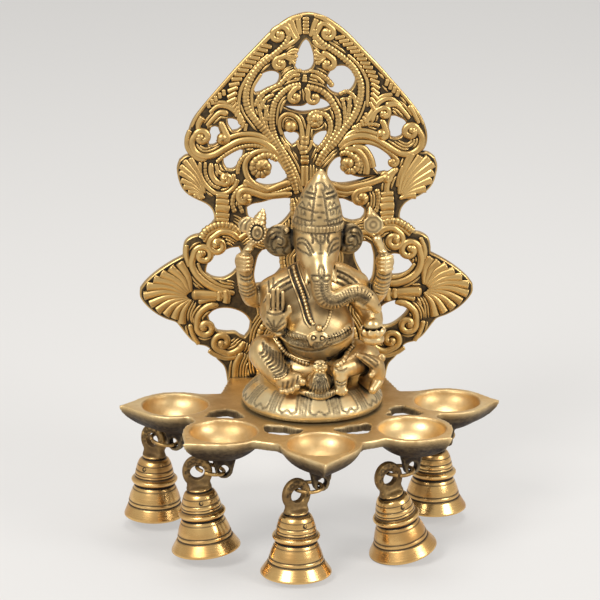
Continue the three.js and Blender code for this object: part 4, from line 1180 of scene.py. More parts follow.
    # three stems that run out to the side volutes
    strand([(-14, 120), (-21, 126.8), (-28, 129.3), (-35.5, 128.8), (-42, 125.5), (-48.5, 121.8), (-54, 121),
            (-58.5, 123.5), (-60.2, 128.5), (-58, 132.8)], 1.5, 1.3, curl=(0.95, 2.7, -1), lift=0.2)
    strand([(-18, 127), (-25, 131.6), (-33, 132.6), (-40, 131), (-44, 128)], 1.3, 0.9)
    strand([(-13, 116), (-17.5, 122), (-23.5, 125.6), (-30, 126.4), (-37, 124.8), (-43.5, 121),
            (-47.5, 117.5)], 1.0, 0.9, ribs=1.1)
    strand([(-52.5, 119), (-57.5, 120), (-62, 125), (-62.5, 130.5), (-61, 135)], 1.1, 1.0)
    strand([(16, 125), (21, 129.5), (27.5, 131), (34.5, 129.5), (41, 125.5), (48, 121.3), (54, 121),
            (58.5, 124.3), (59.6, 129.5), (57, 134.5)], 1.5, 1.3, curl=(1.05, 2.9, 1), lift=0.2)
    strand([(18, 127.3), (22.5, 132.4), (29, 133.8), (37, 131.5), (40.5, 130)], 1.2, 0.9)
    strand([(22.5, 134.5), (28, 136.8), (34, 137), (37.5, 136)], 1.1, 0.9, ribs=1.2)
    strand([(16.5, 123.3), (22.5, 127.2), (30.5, 127.6), (37, 125.6), (42.5, 121.8), (46.3, 118.3)], 1.0,
           1.0, curl=(0.7, 1.6, -1))
    # C scrolls and leaves below them
    strand([(-10, 111), (-14, 118.3), (-19.5, 123.2), (-25.5, 123.2), (-30, 120.8), (-32.6, 116),
            (-31.3, 110), (-27.5, 105.5), (-21, 102.3)], 1.1, 1.3)
    strand([(-15.5, 118), (-19, 120.7), (-22.5, 121), (-26, 119.3)], 1.4, 1.9, curl=(1.05, 4.2, 1), ribs=1.6,
           lift=0.4)
    strand([(-29, 122.5), (-33.5, 120), (-36, 115.5), (-36.5, 111)], 1.1, 0.9, ribs=1.3)
    strand([(16.5, 121), (20, 122), (24, 119.8)], 1.3, 1.8, curl=(0.9, 4.0, -1), ribs=1.6, lift=0.4)
    strand([(19, 123.6), (25, 123.4), (29, 119.6), (30.8, 114.5), (30.5, 110)], 1.4, 1.5)
    strand([(23, 125), (29, 124.2), (32.8, 119), (34.3, 113.5)], 1.3, 1.3)
    strand([(21, 120.5), (26.5, 120), (28, 115), (27, 110.5)], 0.9, 1.0, ribs=1.2)
    # nested loops and the shell fans at the sides
    strand([(-56, 118), (-56, 111.5), (-53, 105.5), (-48, 101.2), (-42.5, 101), (-38.3, 104.2),
            (-36.3, 108.5)], 1.0, 1.0)
    strand([(-53.2, 118), (-53, 111), (-50, 105.8), (-45.5, 103.6)], 0.8, 0.8, ribs=1.2)
    strand([(-50.3, 117.5), (-50, 111.5), (-47.3, 107.2), (-43.5, 106)], 1.2, 1.2, curl=(0.8, 2.0, 1),
           lift=0.2)
    strand([(-47.8, 117), (-46.5, 112.8), (-43.8, 111)], 0.8, 0.8)
    strand([(-38.8, 111.5), (-38.5, 107.8), (-41, 105.7)], 1.0, 0.8, curl=(0.6, 1.2, -1))
    shellFan((-52.5, 99), [(-58.5, 117.5), (-66, 117.5), (-67, 113), (-66.3, 106), (-63.5, 100.5),
                           (-58, 96.8)], 9, -0.06)
    shellFan((47, 96.5), [(51, 118.5), (57, 118.5), (65.5, 119.5), (66, 114), (64, 107.5), (60.5, 102),
                          (53.5, 97)], 8, 0.06)
    strand([(47, 113.5), (43.8, 109.5), (41.8, 104.5), (41.3, 99)], 1.3, 1.2)
    strand([(50.5, 115), (48.2, 109), (47.2, 103)], 1.1, 1.0)
    # the bars across, and the volutes that hang from them
    strand([(-8, 106.8), (-14, 104.8), (-21, 102.3), (-27.5, 104.3), (-33.5, 107.5)], 1.5, 1.3)
    strand([(-8, 103.5), (-15, 101.2), (-22, 100)], 1.0, 0.8, ribs=1.1)
    strand([(-8, 100.3), (-15.5, 99.6), (-22, 99.3), (-27.5, 101), (-31.5, 102.3)], 1.4, 1.6,
           curl=(0.8, 2.8, 1), lift=0.3)
    strand([(-24, 103), (-29, 105.3), (-34.5, 104), (-38, 100.3), (-39.3, 95), (-37.8, 90.5)], 1.2, 1.1,
           ribs=1.3)
    strand([(-26, 101.5), (-31, 105), (-35.2, 100.5), (-35.5, 95), (-33.8, 90)], 0.9, 0.9, ribs=1.3)
    strand([(12.5, 104.8), (19.5, 102.8), (27.5, 104.2), (34.5, 106), (41, 108.8), (46, 112.5)], 1.5, 1.3)
    strand([(13, 101.5), (20.5, 100), (28, 101.5), (34, 102.5)], 1.0, 1.0)
    strand([(34, 103), (30.5, 102.3), (27, 101.3)], 1.3, 1.6, curl=(0.8, 2.8, 1), lift=0.3)
    strand([(36, 102.5), (37.3, 98), (37, 93), (35.5, 89.5)], 1.2, 1.1, ribs=1.3)
    strand([(38.5, 108.8), (40.2, 110.5), (42.3, 110)], 1.0, 1.3, curl=(0.6, 1.2, -1))
    # neck with its rings on each side
    for x, slope in ((-44.5, 0.12), (41.8, -0.1)):
        for height, half, size in (
                (99.3, 3.4, 1.1), (96.2, 3.6, 1.5), (92.6, 3.9, 2.0), (89, 3.8, 1.3), (86.5, 3.4, 1.0)):
            strand([(x - half, height + half * slope), (x, height + 0.4), (x + half, height - half * slope)],
                   size, start=0.85, lift=0.2)
    # lower tier: leaf cap and its volute
    for turn, cap, volute in (
            (1, [(-35, 78.5), (-39.5, 83), (-46, 84), (-52.5, 81), (-55.5, 76.5)],
             [(-35.5, 75.5), (-39.5, 79.3), (-45, 80), (-49.5, 77)]),
            (-1, [(36, 79), (40.5, 84), (46, 84.8), (51.5, 82), (55.5, 78.5)],
             [(36.5, 76.5), (40, 80.3), (45, 80.8), (48.5, 78.2)])):
        strand(cap, 1.5, 1.8, ribs=1.4)
        strand([(x * 0.975, z - 1.8) for x, z in cap], 0.8, 0.9)
        strand(volute, 1.4, 1.4, curl=(1.1, 3.9, turn), lift=0.3)
    # the large volutes, the knob bar and the wings
    strand([(-38, 46.5), (-45, 48), (-52, 51.5), (-57.5, 56.5), (-60.5, 62.5), (-59.5, 68.3)], 1.7, 1.3,
           curl=(1.15, 4.0, -1), lift=0.3)
    strand([(-38.5, 49.5), (-45, 50.8), (-50.5, 53.8), (-55.5, 58.5), (-57.5, 63.5)], 0.8, 0.7)
    strand([(-61.5, 61), (-63.3, 67), (-63.3, 73.5)], 1.3, 0.9)
    strand([(41, 50.5), (48, 51), (53.5, 53), (58.3, 57), (60.3, 63), (59, 69.5)], 1.7, 1.3,
           curl=(1.15, 4.2, 1), lift=0.3)
    strand([(42, 53.5), (48.5, 54.3), (53.5, 57), (57, 61.5)], 0.8, 0.7)
    strand([(61.8, 63), (61.8, 69.5), (59.5, 75.8)], 1.3, 0.9)
    shellFan((-60.2, 45.5), [(-64.5, 64), (-73, 60.3), (-80.5, 54.5), (-85.3, 49.3), (-86, 44), (-82.3, 39),
                             (-77.5, 34.5), (-70.5, 30.5), (-63.5, 28.5)], 11, -0.08, 0.4)
    shellFan((61, 47.5), [(63.5, 68), (71, 64.5), (78, 59.5), (83, 54.5), (86.3, 48.5), (84.5, 42.5),
                          (79.5, 37.3), (72.5, 33.5), (65, 31.5)], 11, 0.08, 0.4)
    for side in (-1, 1):
        strand([(61, 46), (54, 46), (48, 45.7), (42, 45)], 2.3, 1.8, lift=0.2, mirror=side)
        strand([(46.5, 48.3), (46, 45.5), (46.5, 42.7)], 1.2, start=0.9, lift=1.2, mirror=side)
        strand([(42.8, 48.8), (42.2, 45), (42.8, 41.2)], 1.6, start=0.9, lift=0.9, mirror=side)
        strand([(57.5, 41.8), (52, 43.2), (47.5, 43.4)], 1.3, 0.9, mirror=side)
        strand([(46.5, 40.5), (52.5, 39.3), (57.3, 34.5), (58, 28.5)], 1.5, 1.3, curl=(1.05, 3.7, -1),
               lift=0.3, mirror=side)
        strand([(62, 30), (60, 23.5), (57, 18.5)], 1.2, 0.9, mirror=side)
        strand([(33, 20), (36, 15.5), (41.5, 13.2), (46.5, 15.3)], 1.5, 1.3, curl=(1.05, 3.9, 1), lift=0.3,
               mirror=side)
        strand([(37, 11.5), (43, 10.8), (48.5, 12.8), (52, 15.3)], 1.2, 1.0, mirror=side)
        strand([(34.5, 14), (37.5, 7), (38, 0), (38, -6)], 1.4, 1.6, mirror=side)
        strand([(27, 41), (28.3, 45.5), (31, 48.5), (36, 47)], 1.2, 1.0, mirror=side)
    # the middle of the panel behind the figure
    for side in (-1, 1):
        strand([(8, 98), (7, 86), (9, 74), (13, 66), (12, 55), (15, 44)], 1.4, 1.2, ribs=1.6, mirror=side)
        strand([(15, 78), (22, 76), (30, 79), (36, 76)], 1.3, 1.2, mirror=side)
        strand([(22, 46), (20, 34), (25, 24), (26, 10), (24, -4)], 1.5, 1.5, ribs=1.8, mirror=side)
        strand([(8, 40), (10, 26), (9, 10), (11, -4)], 1.5, 1.5, mirror=side)
    strand([(0, 97), (0, 70), (0, 40), (0, 10), (0, -5)], 2.0, 2.0, ribs=2.4)


ground = {"cell": 0.4, "low": (-110.0, -20.0), "edge": 1.1, "rows": 3, "first": 0.75, "pitch": 1.5,
          "half": 0.8}


def groundRibs():
    # fine ribs that follow the strands and fill the ground between them
    span, low = ground["cell"], np.array(ground["low"])
    u, w = (low[axis] + 2 * span * (cells + 0.5) for axis, cells in enumerate(np.ogrid[0:280, 0:280]))
    gap = outlineGap(u, w, panelLoops[0][::4])
    for window in panelLoops[1:]:
        gap = np.maximum(gap, -outlineGap(u, w, window[::4]))
    taken = np.repeat(np.repeat(gap > -ground["edge"], 2, 0), 2, 1)

    def claim(path, half):
        for (x, z), size in zip(path, np.broadcast_to(half, len(path))):
            i, k = ((np.array([x, z]) - low) / span).astype(int)
            n = int(size / span) + 1
            u, w = np.ogrid[-n:n + 1, -n:n + 1]
            taken[i - n:i + n + 1, k - n:k + n + 1] |= u * u + w * w <= (size / span) ** 2

    for path, size in laid:
        claim(path, size * 0.92)
    parts = []
    for row in range(ground["rows"]):
        for path, size in [line for line in laid if len(line[0]) > 8]:
            ahead = np.gradient(path, axis=0)
            across = np.stack([-ahead[:, 1], ahead[:, 0]], 1)
            across /= np.maximum(np.linalg.norm(ahead, axis=1), 1e-6)[:, None]
            for side in (-1, 1):
                shifted = path + across * side * (size + ground["first"] + ground["pitch"] * row)[:, None]
                cells = ((shifted - low) / span).astype(int)
                free = ~taken[cells[:, 0], cells[:, 1]]
                # whole runs of free points become ribs
                runs = np.split(np.arange(len(path)), np.flatnonzero(np.diff(free.astype(int))) + 1)
                for run in runs:
                    if free[run[0]] and len(run) > 6:
                        rib = shifted[run]
                        step = np.arange(len(run))
                        taper = ground["half"] * np.minimum(1, np.minimum(step + 2, step[::-1] + 2) / 5)
                        place = np.stack([rib[:, 0], np.full(len(rib), panel["seat"] + 0.35), rib[:, 1]], 1)
                        parts.append(tubeAlong(place, taper, 6, 0.9, front=(0, -1, 0)))
                        claim(rib, 0.7)
    return joinParts(parts)


layScrolls()
panelRelief = makePiece("panel_scrolls", joinParts(relief), "carved_brass")
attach(panelRelief, "lamp")
print("panel scrolls", len(panelRelief.data.polygons))

ribs = makePiece("panel_ribs", groundRibs(), "carved_brass")
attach(ribs, "lamp")
print("panel ribs", len(ribs.data.polygons))


# Seat and figure, measured from the middle of the seat's foot
figure = {"x": 0, "y": -48.5, "z": 0.3, "cell": 0.5, "seatCell": 0.62, "petals": 13, "bands": [36.0, 95.5]}
figurePlace = np.array([figure["x"], figure["y"], figure["z"]])
skirt = [(0, 0), (34.2, 0), (36.1, 1.2), (36.4, 3.2), (36.1, 4.8), (34.9, 6.8), (32.9, 9), (30.5, 11.3),
         (28, 12.8), (25, 13.4), (0, 13.4)]
# half of a heart-shaped petal, its inner line, and the line between two petals
petalHalf = [(4.2, 12.7), (4.8, 10), (5.1, 7.6), (4.8, 5.6), (3.4, 4.6), (1.7, 5.0), (0.2, 6.6)]
petalSide = [(6.6, 12.6), (6.9, 9), (7.0, 4.8)]
petalGap = [(8.2, 12.6), (8.45, 9), (8.45, 4.8)]


def seatSkin():
    block = Casting((-38.5, -38.5, -1.2), (38.5, 38.5, 15.5), figure["seatCell"])
    block.add(turnedShape(skirt, (0, 0, 0)))
    heights, radii = [z for r, z in skirt[1:-1]], [r for r, z in skirt[1:-1]]

    def chase(turn, line, size, side=1):
        # a line of (width, height) points on the skirt, beside the petal's middle
        path = []
        for w, z in smoothPath(line, 1.2)[0]:
            r, around = float(np.interp(z, heights, radii)), turn + side * w / 35
            path.append((r * math.cos(around), r * math.sin(around), z))
        block.cut(limb(path, size, 3), 0.1, 1.0, 0.6)

    for i in range(figure["petals"]):
        turn = 2 * math.pi * i / figure["petals"] - math.pi / 2 + 0.04
        for side in (-1, 1):
            chase(turn, petalHalf, 0.36, side)
            chase(turn, petalSide, 0.3, side)
        chase(turn, petalGap, 0.26)
    foot = [(x, y, 1.7) for x, y in arcPoints(np.linspace(0, 2 * math.pi, 60), 36.2)]
    block.cut(limb(foot, 0.45, 4), 0.15, 0.9, 0.5)
    block.cut(limb([(0, 0, -2), (0, 0, 9)], tray["boltHole"]), 0.1)
    return block.mesh()


def figureSkin():
    block = Casting((-44, -34, 9), (44, 10, 130), figure["cell"])
    add, cut = block.add, block.cut

    def bar(points, radii, blend=0.5, step=2.0):
        add(limb(points, radii, step), blend)

    def ball(center, radii, blend=0.5, turns=(0, 0, 0)):
        add(lump(center, radii, turns), blend)

    # hips, belly, chest
    ball((0, -2, 21), (24, 17, 10))
    ball((1.4, -8.5, 42), (19.5, 16.5, 18.5), 3)
    ball((0, -2, 61), (18.5, 11.5, 13), 4)
    bar([(-21, 0, 60.5), (-11, 0, 65.5), (0, 1, 69), (12, 0, 67.5), (22, 0, 63)], [6.8, 7.4, 8, 7.6, 7], 2)
    # legs: thighs folded out, shins brought in, feet in front
    bar([(-8, 2, 25), (-18, -5, 29), (-24.8, -11, 31.5)], [10, 9.5, 8.4], 2)
    bar([(-24.8, -12, 29.5), (-20.5, -21.5, 24.5), (-16, -25, 21)], [8.2, 6.4, 5.2], 1.5)
    bar([(8, 2, 25), (18, -6, 26.5), (26, -10, 27)], [10, 9.5, 8], 2)
    bar([(24, -12, 27), (18, -20, 26), (12.5, -24.5, 25.5)], [7.5, 5.8, 4.8], 1.5)
    bar([(12.5, -24.5, 25.5), (12.6, -26.3, 20), (12.4, -27, 15.5)], [4.6, 3.6, 3.0], 1.2)
    # arms
    bar([(-20, 2, 61.5), (-30, 1, 56.5), (-34.5, -4, 66), (-36, -8, 77)], [5.8, 5.2, 4.2, 3.8], 1.2)
    bar([(20, 2, 63.5), (31, 1, 57), (35.5, -4, 66), (36, -8, 75)], [5.8, 5.2, 4.2, 3.8], 1.2)
    bar([(-19, -2, 60.5), (-22.5, -9, 52.5), (-20.6, -21, 48.5)], [6.2, 5.3, 4.4], 1.5)
    bar([(19, -2, 64), (29, -10, 50), (28.5, -22, 44)], [6.4, 5.8, 4.2], 1.5)
    # head: a smooth wedge that narrows into the trunk
    bar([(1.6, -6.5, 93), (1.6, -8.5, 88.5), (1.6, -11.5, 83.5), (1.7, -15, 78.5), (1.8, -18.5, 74)],
        [12.3, 12, 10.4, 7.6, 5.8], 1.5, 1.2)
    ball((1.6, -1, 86), (11.5, 9, 11), 2)
    trunk = [(1.8, -17.5, 82), (2.6, -21, 75), (2.8, -23.5, 68), (4.8, -25.5, 63.6), (9.8, -27, 63.4),
             (15.5, -27.3, 66), (21.5, -27, 67), (26.8, -26.6, 63), (30.6, -25.8, 57.8)]
    bar(trunk, [5.6, 5.5, 5.3, 5.1, 4.8, 4.5, 4.2, 3.9, 2.6], 1.5, 1.2)
    bar([(21.5, -26.6, 64), (22, -26.4, 60.8), (25.4, -26.2, 59)], [3, 2.6, 2.0], 0.8)
    # short tusk stubs beside the trunk
    bar([(-3.5, -17.5, 75), (-4.6, -21.5, 70.5)], [2.2, 1.3], 0.6)
    bar([(8.2, -18, 75), (9.6, -21.5, 71.5)], [2.2, 1.3], 0.6)
    # ears: flat shells, chased below
    ball((-17.2, -4.5, 88.2), (8.3, 3, 8.6), 1.2, (0, -12, 0))
    ball((18.4, -4.5, 88.6), (6.8, 3, 8.2), 1.2, (0, 12, 0))
    for x, z, radius in (
            (-16.6, 88.4, 3.2), (-21.4, 92, 2.2), (-14, 94, 1.8), (17.8, 89, 2.8), (20.4, 93, 1.8)):
        ball((x, -7, z), (radius, 1.8, radius), 0.5)
    # crown: a fluted band and the tall carved cone above it
    add(turnedShape([(0, 2.4), (12.5, 2.4), (13.2, 2.9), (13.3, 6.1), (12.8, 6.6), (12.6, 7.4), (11.9, 11),
                     (11, 14.7), (9.3, 19.5), (8.4, 22), (6.3, 25.7), (4.0, 28.9), (2.9, 30.8), (0.9, 32.8),
                     (0, 33.2)], (1.8, -6, 92.8), (0, 3, 0)), 0.3)
    # left hand raised with the palm to the front, right hand with the bowl
    ball((-20.4, -25, 52), (5.8, 3.2, 6.8), 1.2)
    for x, top in ((-24.2, 66.2), (-21.8, 68.4), (-19.4, 68.6), (-17.0, 66.8)):
        bar([(x, -24.6, 57), (x, -25.4, top)], [1.12, 1.02], 0.15)
    bar([(-16.2, -25.5, 54), (-13.6, -26.5, 57.5), (-13.8, -26.6, 59.6)], [1.8, 1.5, 1.2], 0.6)
    ball((28.8, -24.5, 41.5), (6, 5.6, 3.4), 1)
    add(turnedShape([(0, -3.6), (3, -3.4), (5.4, -1.4), (6.4, 1.6), (6.1, 2.2), (4.8, 0.6), (0, -0.4)],
                    (28.6, -25.4, 45.4)), 0.4)
    ball((28.5, -25.4, 49), (4.3, 4.3, 4.0), 0.3)
    for i in range(10):
        turn = 2 * math.pi * i / 10
        ball((28.6 + 5.7 * math.cos(turn), -25.4 + 5.7 * math.sin(turn), 46.2), (1.2, 1.2, 1.9), 0.4)
    # upper hands, closed round the stems
    for side, x, z in ((-1, -35.6, 79), (1, 36, 77.6)):
        ball((x, -9, z), (4.8, 4.6, 4.8), 0.8)
        for i in range(4):
            tip = z + 3.2 - 2.1 * i
            bar([(x + 3.2 * side, -11.5, tip), (x - 0.4 * side, -13.8, tip - 0.4),
                 (x - 3.4 * side, -11.6, tip - 0.6)], [1.15, 1.2, 1.05], 0.4)
    # what they hold: a round disc with a shell above it, and an eight-sided disc with a knob
    bar([(-35.6, -9.4, 82), (-32.6, -10.2, 87), (-29.5, -10.8, 91)], [2.3, 1.9, 2.4], 0.6)
    ball((-29.1, -11, 94.8), (5.1, 2.0, 6.2), 0.4)
    ball((-29.1, -12.6, 94.8), (3.0, 1.3, 4.0), 0.2)
    ball((-34, -9.4, 98), (4.6, 3.2, 4.4), 1.0)
    for radius, place in (
            (4.0, (-28.2, -10, 99.8)), (3.2, (-27.4, -10, 101.8)), (2.4, (-26.8, -10, 103.4)),
            (1.4, (-26.3, -9.8, 104.7))):
        ball(place, (radius, radius * 0.9, 1.9), 0.3, (0, 12, 0))
    bar([(36, -9.5, 80), (33.8, -10.3, 85), (31.6, -10.8, 90)], [2.4, 1.9, 2.4], 0.6)
    octagon = [(0, -1.6), (5.0, -1.6), (5.4, -0.8), (5.4, 0.8), (4.9, 1.4), (0, 1.6)]
    add(turnedShape(octagon, (29.6, -11, 98), (90, 0, 0), 8), 0.3)
    ball((28.6, -10.4, 103), (2.6, 2.2, 2.0), 0.5)
    bar([(28.3, -10.3, 104.2), (28, -10.2, 106.2)], [1.8, 0.9], 0.3)
    for x, z, radius in ((-33.4, 85.6, 2.7), (-31.6, 88.4, 2.7), (34.4, 83.6, 2.7), (32.9, 87, 2.6)):
        ball((x, -10, z), (radius, radius, 0.9), 0.3)
    # apron between the legs, the mouse at the right, feet
    ball((2, -24.4, 18.6), (7.4, 3.2, 5.6), 0.6)
    ball((1.8, -28.2, 28), (4.0, 1.8, 4.0), 0.3)
    bar([(1.8, -26.4, 25), (1.8, -26.8, 21.4), (1.8, -27, 18)], [2.8, 4.4, 5.5], 0.6)
    bar([(-7, -27, 14.4), (2, -29.6, 12.9), (10.5, -27, 14.6)], [1.5, 2.3, 1.5], 0.4)
    bar([(28, -10, 14), (30, -17, 17), (31.5, -21, 21)], [5.2, 5.4, 4.2], 1)
    tail = [(31.5, -21.5, 22), (31, -23, 27), (26.5, -24.5, 30.5), (21.5, -25.5, 33.2)]
    bar(tail, [4.2, 3.8, 2.9, 1.4], 0.8)
    ball((33.6, -22.4, 30.4), (2.2, 1.4, 2.4), 0.4)
    bar([(31, -24, 24.6), (28.2, -26.2, 22.6)], [2.0, 1.6], 0.6)
    bar([(31.5, -23, 17.4), (29, -26, 14.6)], [3.0, 2.3], 0.6)
    ball((-13.5, -27, 20.5), (7.4, 4.4, 4.6), 1, (0, -24, 0))
    for i, (x, z) in enumerate(((-17.6, 16.2), (-15, 15.8), (-12.4, 16.6), (-10, 18.2), (-7.2, 20.8))):
        ball((x, -30, z), (1.5 + 0.12 * i, 1.9, 1.6 + 0.14 * i), 0.4)
    for x, z in ((10.6, 14.8), (12.2, 14.2), (13.8, 14.4), (15.2, 15.2)):
        ball((x, -28.4, z), (1.1, 1.7, 1.7), 0.3)
    # engraved lines follow the skin as it stands now
    front = block.frontOf
    lines = []

    def onSkin(points, step, sunk=0.0, start=-99.0):
        spots = [(x, front(x, z, start), z) for x, z in smoothPath(points, step)[0]]
        return [(x, y + sunk, z) for x, y, z in spots if y is not None]

    def engrave(points, radius=0.42, dark=1.0, start=-99.0):
        spots = onSkin(points, 1.0, 0.1 * radius, start)
        if len(spots) > 1:
            lines.append((spots, radius, dark))

    def ringMark(x, z, radius, size=0.34, start=-99.0):
        engrave(arcPoints(np.linspace(0, 2 * math.pi, 9), radius, rise=z) + [x, 0], size, start=start)

    # folds of the sash and the knot between them
    for points, radius in (
            ([(-19, 45.4), (-12.5, 43.4), (-5, 42)], 2.2), ([(-17, 41.2), (-10.5, 38.4), (-3.5, 38.2)], 2.0),
            ([(5, 42), (11, 42.6), (17.8, 45.4)], 1.9), ([(5.4, 39), (11, 39.6), (18, 42.2)], 1.7)):
        bar(onSkin(points, 1.2, 0.6 * radius), radius, 0.5, 1.5)
    ball((0.9, front(0.9, 41) + 0.2, 41), (5.4, 1.6, 4.6), 0.4)
    # brow, eyes, marks on the forehead, the flower over the trunk
    for points in (
            [(-9, 91), (-7.5, 92.4), (-5, 92), (-3, 89.5), (-1.3, 86.3)],
            [(-9.2, 88.8), (-7.5, 90.3), (-5.5, 90), (-3.6, 87.5), (-2.5, 85)],
            [(-8.8, 87), (-6.8, 86), (-4.6, 85.4), (-3.4, 84.6)],
            [(6, 86.3), (6.8, 89), (8.7, 91.3), (10.5, 92.2), (12.2, 91.5)],
            [(7.2, 85), (8, 87.4), (9.6, 89.3), (12.2, 89.2)],
            [(6.6, 84.6), (8.4, 86.1), (10.2, 86.4), (12, 87)],
            [(0.3, 95), (0.3, 92.2), (1.6, 90.8), (3.2, 90.6), (4.5, 92.2), (4.5, 94.8)],
            [(-2, 94.8), (-1.2, 92.8), (-1.6, 90.8)], [(6.8, 94.8), (6, 92.8), (6.4, 90.8)],
            [(2.4, 94), (2.4, 90.5), (2.4, 87.2)]):
        engrave(points)
    ringMark(2.3, 86, 0.7)
    for points in (
            [(2.5, 74.6), (1, 77), (2.5, 81), (4, 77), (2.5, 74.6)],
            [(2.5, 74.2), (0.3, 75.6), (-2.6, 74.8), (-1.8, 72.9), (0.5, 72.6), (2.5, 74.2)],
            [(2.8, 74.2), (5, 75.6), (7.6, 74.6), (6.2, 72.9), (4.6, 72.7), (2.8, 74.2)]):
        engrave(points, 0.36)
    # lines down the trunk and the ribs across it
    spine, _ = smoothPath([(2.6, 72.5), (2.8, 68), (4.9, 63.9), (9.8, 62.9), (15.5, 65.4), (21.5, 66.6),
                           (26, 63.6)], 1.25)
    ahead = np.gradient(spine, axis=0)
    across = np.stack([-ahead[:, 1], ahead[:, 0]], 1) / np.linalg.norm(ahead, axis=1)[:, None]
    engrave(spine + across * 0.45, 0.3)
    engrave(spine - across * 0.45, 0.3)
    for spot, way in zip(spine, across):
        for side in (-1, 1):
            engrave([spot + way * side * reach for reach in (1.3, 2.4, 3.7)], 0.3, 0.8)
    # crown: rings, frets and dots
    for x, z in ((2, 109.5), (0.4, 106), (3.6, 106), (2, 103.6), (5, 102), (-0.8, 102), (2.4, 113.4)):
        ringMark(x, z, 0.75)
    engrave([(-2.2, 100), (-1.4, 107), (-0.4, 113.4), (0.5, 117)], 0.36)
    engrave([(6.2, 100), (5.4, 107), (4.4, 113.4), (3.4, 117)], 0.36)
    for x in (-9.4, -6, 8.8, 12):
        for z in (100.4, 105.6):
            engrave([(x - 1, z - 1.4), (x - 1, z + 1.6), (x + 1, z + 1.6)], 0.3)
            engrave([(x, z - 1.4), (x, z + 0.2), (x + 1, z + 0.2), (x + 1, z - 1.4)], 0.3)
    for x in (-6.4, -3.4, 7.6, 9.8):
        engrave([(x - 1, 108.6), (x, 110.4), (x + 1, 108.6)], 0.3)
        ringMark(x, 112, 0.5, 0.28)
    for x in (-4.6, -2.2, 5.8, 8):
        engrave([(x - 0.8, 116.6), (x, 118.6), (x + 0.8, 116.6)], 0.3)
    for rise, wide in ((113.2, 9.0), (115.3, 8.2)):
        for side in (-1, 1):
            engrave([(2.6 + side * u, rise - 0.11 * (wide - u)) for u in (3.2, 5.0, 6.8, wide)], 0.5)
    for rise, wide in ((102.4, 11.4), (107.6, 10.2)):
        for side in (-1, 1):
            engrave([(2.2 + side * u, rise - 0.14 * (wide - u)) for u in (4.6, 6.6, 8.6, wide)], 0.36)
    engrave([(0.4, 116.4), (0.4, 119.6), (4.6, 119.6), (4.6, 116.4)], 0.34)
    # palm lines and finger gaps
    for points in (
            [(-25, 56.6), (-21, 55.8), (-16, 57)], [(-21.2, 46), (-21.4, 49), (-21.6, 53)],
            [(-21.4, 46.6), (-23.2, 49), (-25, 51)], [(-21, 46.6), (-18.8, 49.4), (-16, 51.2)],
            [(-21, 47.4), (-19.6, 50.8), (-17, 54)], [(-21.6, 47.4), (-23, 50.8), (-24.8, 53.8)],
            [(-23, 58), (-23, 66.4)], [(-20.6, 58), (-20.6, 68)], [(-18.2, 58), (-18.2, 67.2)]):
        engrave(points, 0.34, 0.95)
    # ears: curled lines with beads between them
    for side, x, z, size in ((-1, -17.2, 88.2, 1.0), (1, 18.4, 88.6, 0.86)):
        for line in (
                [(7.2, 3.6), (5, 6.8), (1, 7.4), (-2.4, 5.4)], [(6.4, -0.4), (5.8, 3), (3, 5), (0, 4.6)],
                [(3.8, -4), (4.6, -0.4), (2.6, 2.6), (-0.6, 2.4), (-1.8, 0.2), (-0.6, -1.6), (1.2, -0.8)],
                [(1.6, -6.2), (3, -4.4), (0.6, -2.8), (-2.4, -3.6)], [(-3.4, -7), (-1.4, -5.2), (-4.2, -2)]):
            engrave([(x + side * u * size, z + v * size) for u, v in line], 0.42)
        for u, v in ((5.6, -2.8), (3.4, -6), (-1.2, -7.6), (-4.6, 2.2), (-4.2, 4.6)):
            ringMark(x + side * u * size, z + v * size, 0.7, 0.3)
    # darker places: the ears, the lap and the chest, as painted shade; the carved part of the crown, the
    # belly and the raised hand are darkened too
    for center, radii, dark, soft in (
            ((-17.5, -6, 87), (9, 4.5, 9), 0.6, 1.5), ((18.6, -6, 88), (7.5, 4.5, 9), 0.6, 1.5),
            ((1.8, -12, 107), (14, 12, 9), 0.22, 2.5), ((0, -22, 55), (15, 8, 8), 0.25, 3.0),
            ((-21, -27, 60), (6, 2.6, 9), 0.2, 1.0), ((0, -24, 33), (14, 8, 3.5), 0.4, 2.5),
            ((-8, -12, 61), (8, 9, 9), 0.5, 2.5), ((4, -19, 56.5), (4, 6, 3), 0.5, 2.0)):
        block.stainAndShade(lump(center, radii), dark, soft)
    # folds over the left knee
    for i in range(9):
        start = np.array([-28.5 + 1.15 * i, 32.6 - 1.25 * i])
        reach = start + [2.2 + 0.5 * i, 5.2 + 0.2 * i]
        engrave([start, (start + reach) / 2 + [1.4, -1.0], reach], 0.45)
    # pleats of the apron
    pleat = (0.62, 24.2), (1.15, 20.6), (1.6, 15.6)
    for i in range(1, 8):
        engrave([(1.9 + (i - 4) * spread, z) for spread, z in pleat], 0.45)
    for i in range(11):
        engrave([(-5.4 + 1.4 * i, 14.6), (-5.2 + 1.36 * i, 13.2)], 0.34)
    # painted shade in the bed of the garland from the left shoulder
    bed = onSkin([(-11, 75), (-9.5, 69), (-7.4, 63.5), (-5.2, 57), (-3.6, 51)], 1.5)
    block.stainAndShade(limb(bed, 2.4), 0.85, 1.0)
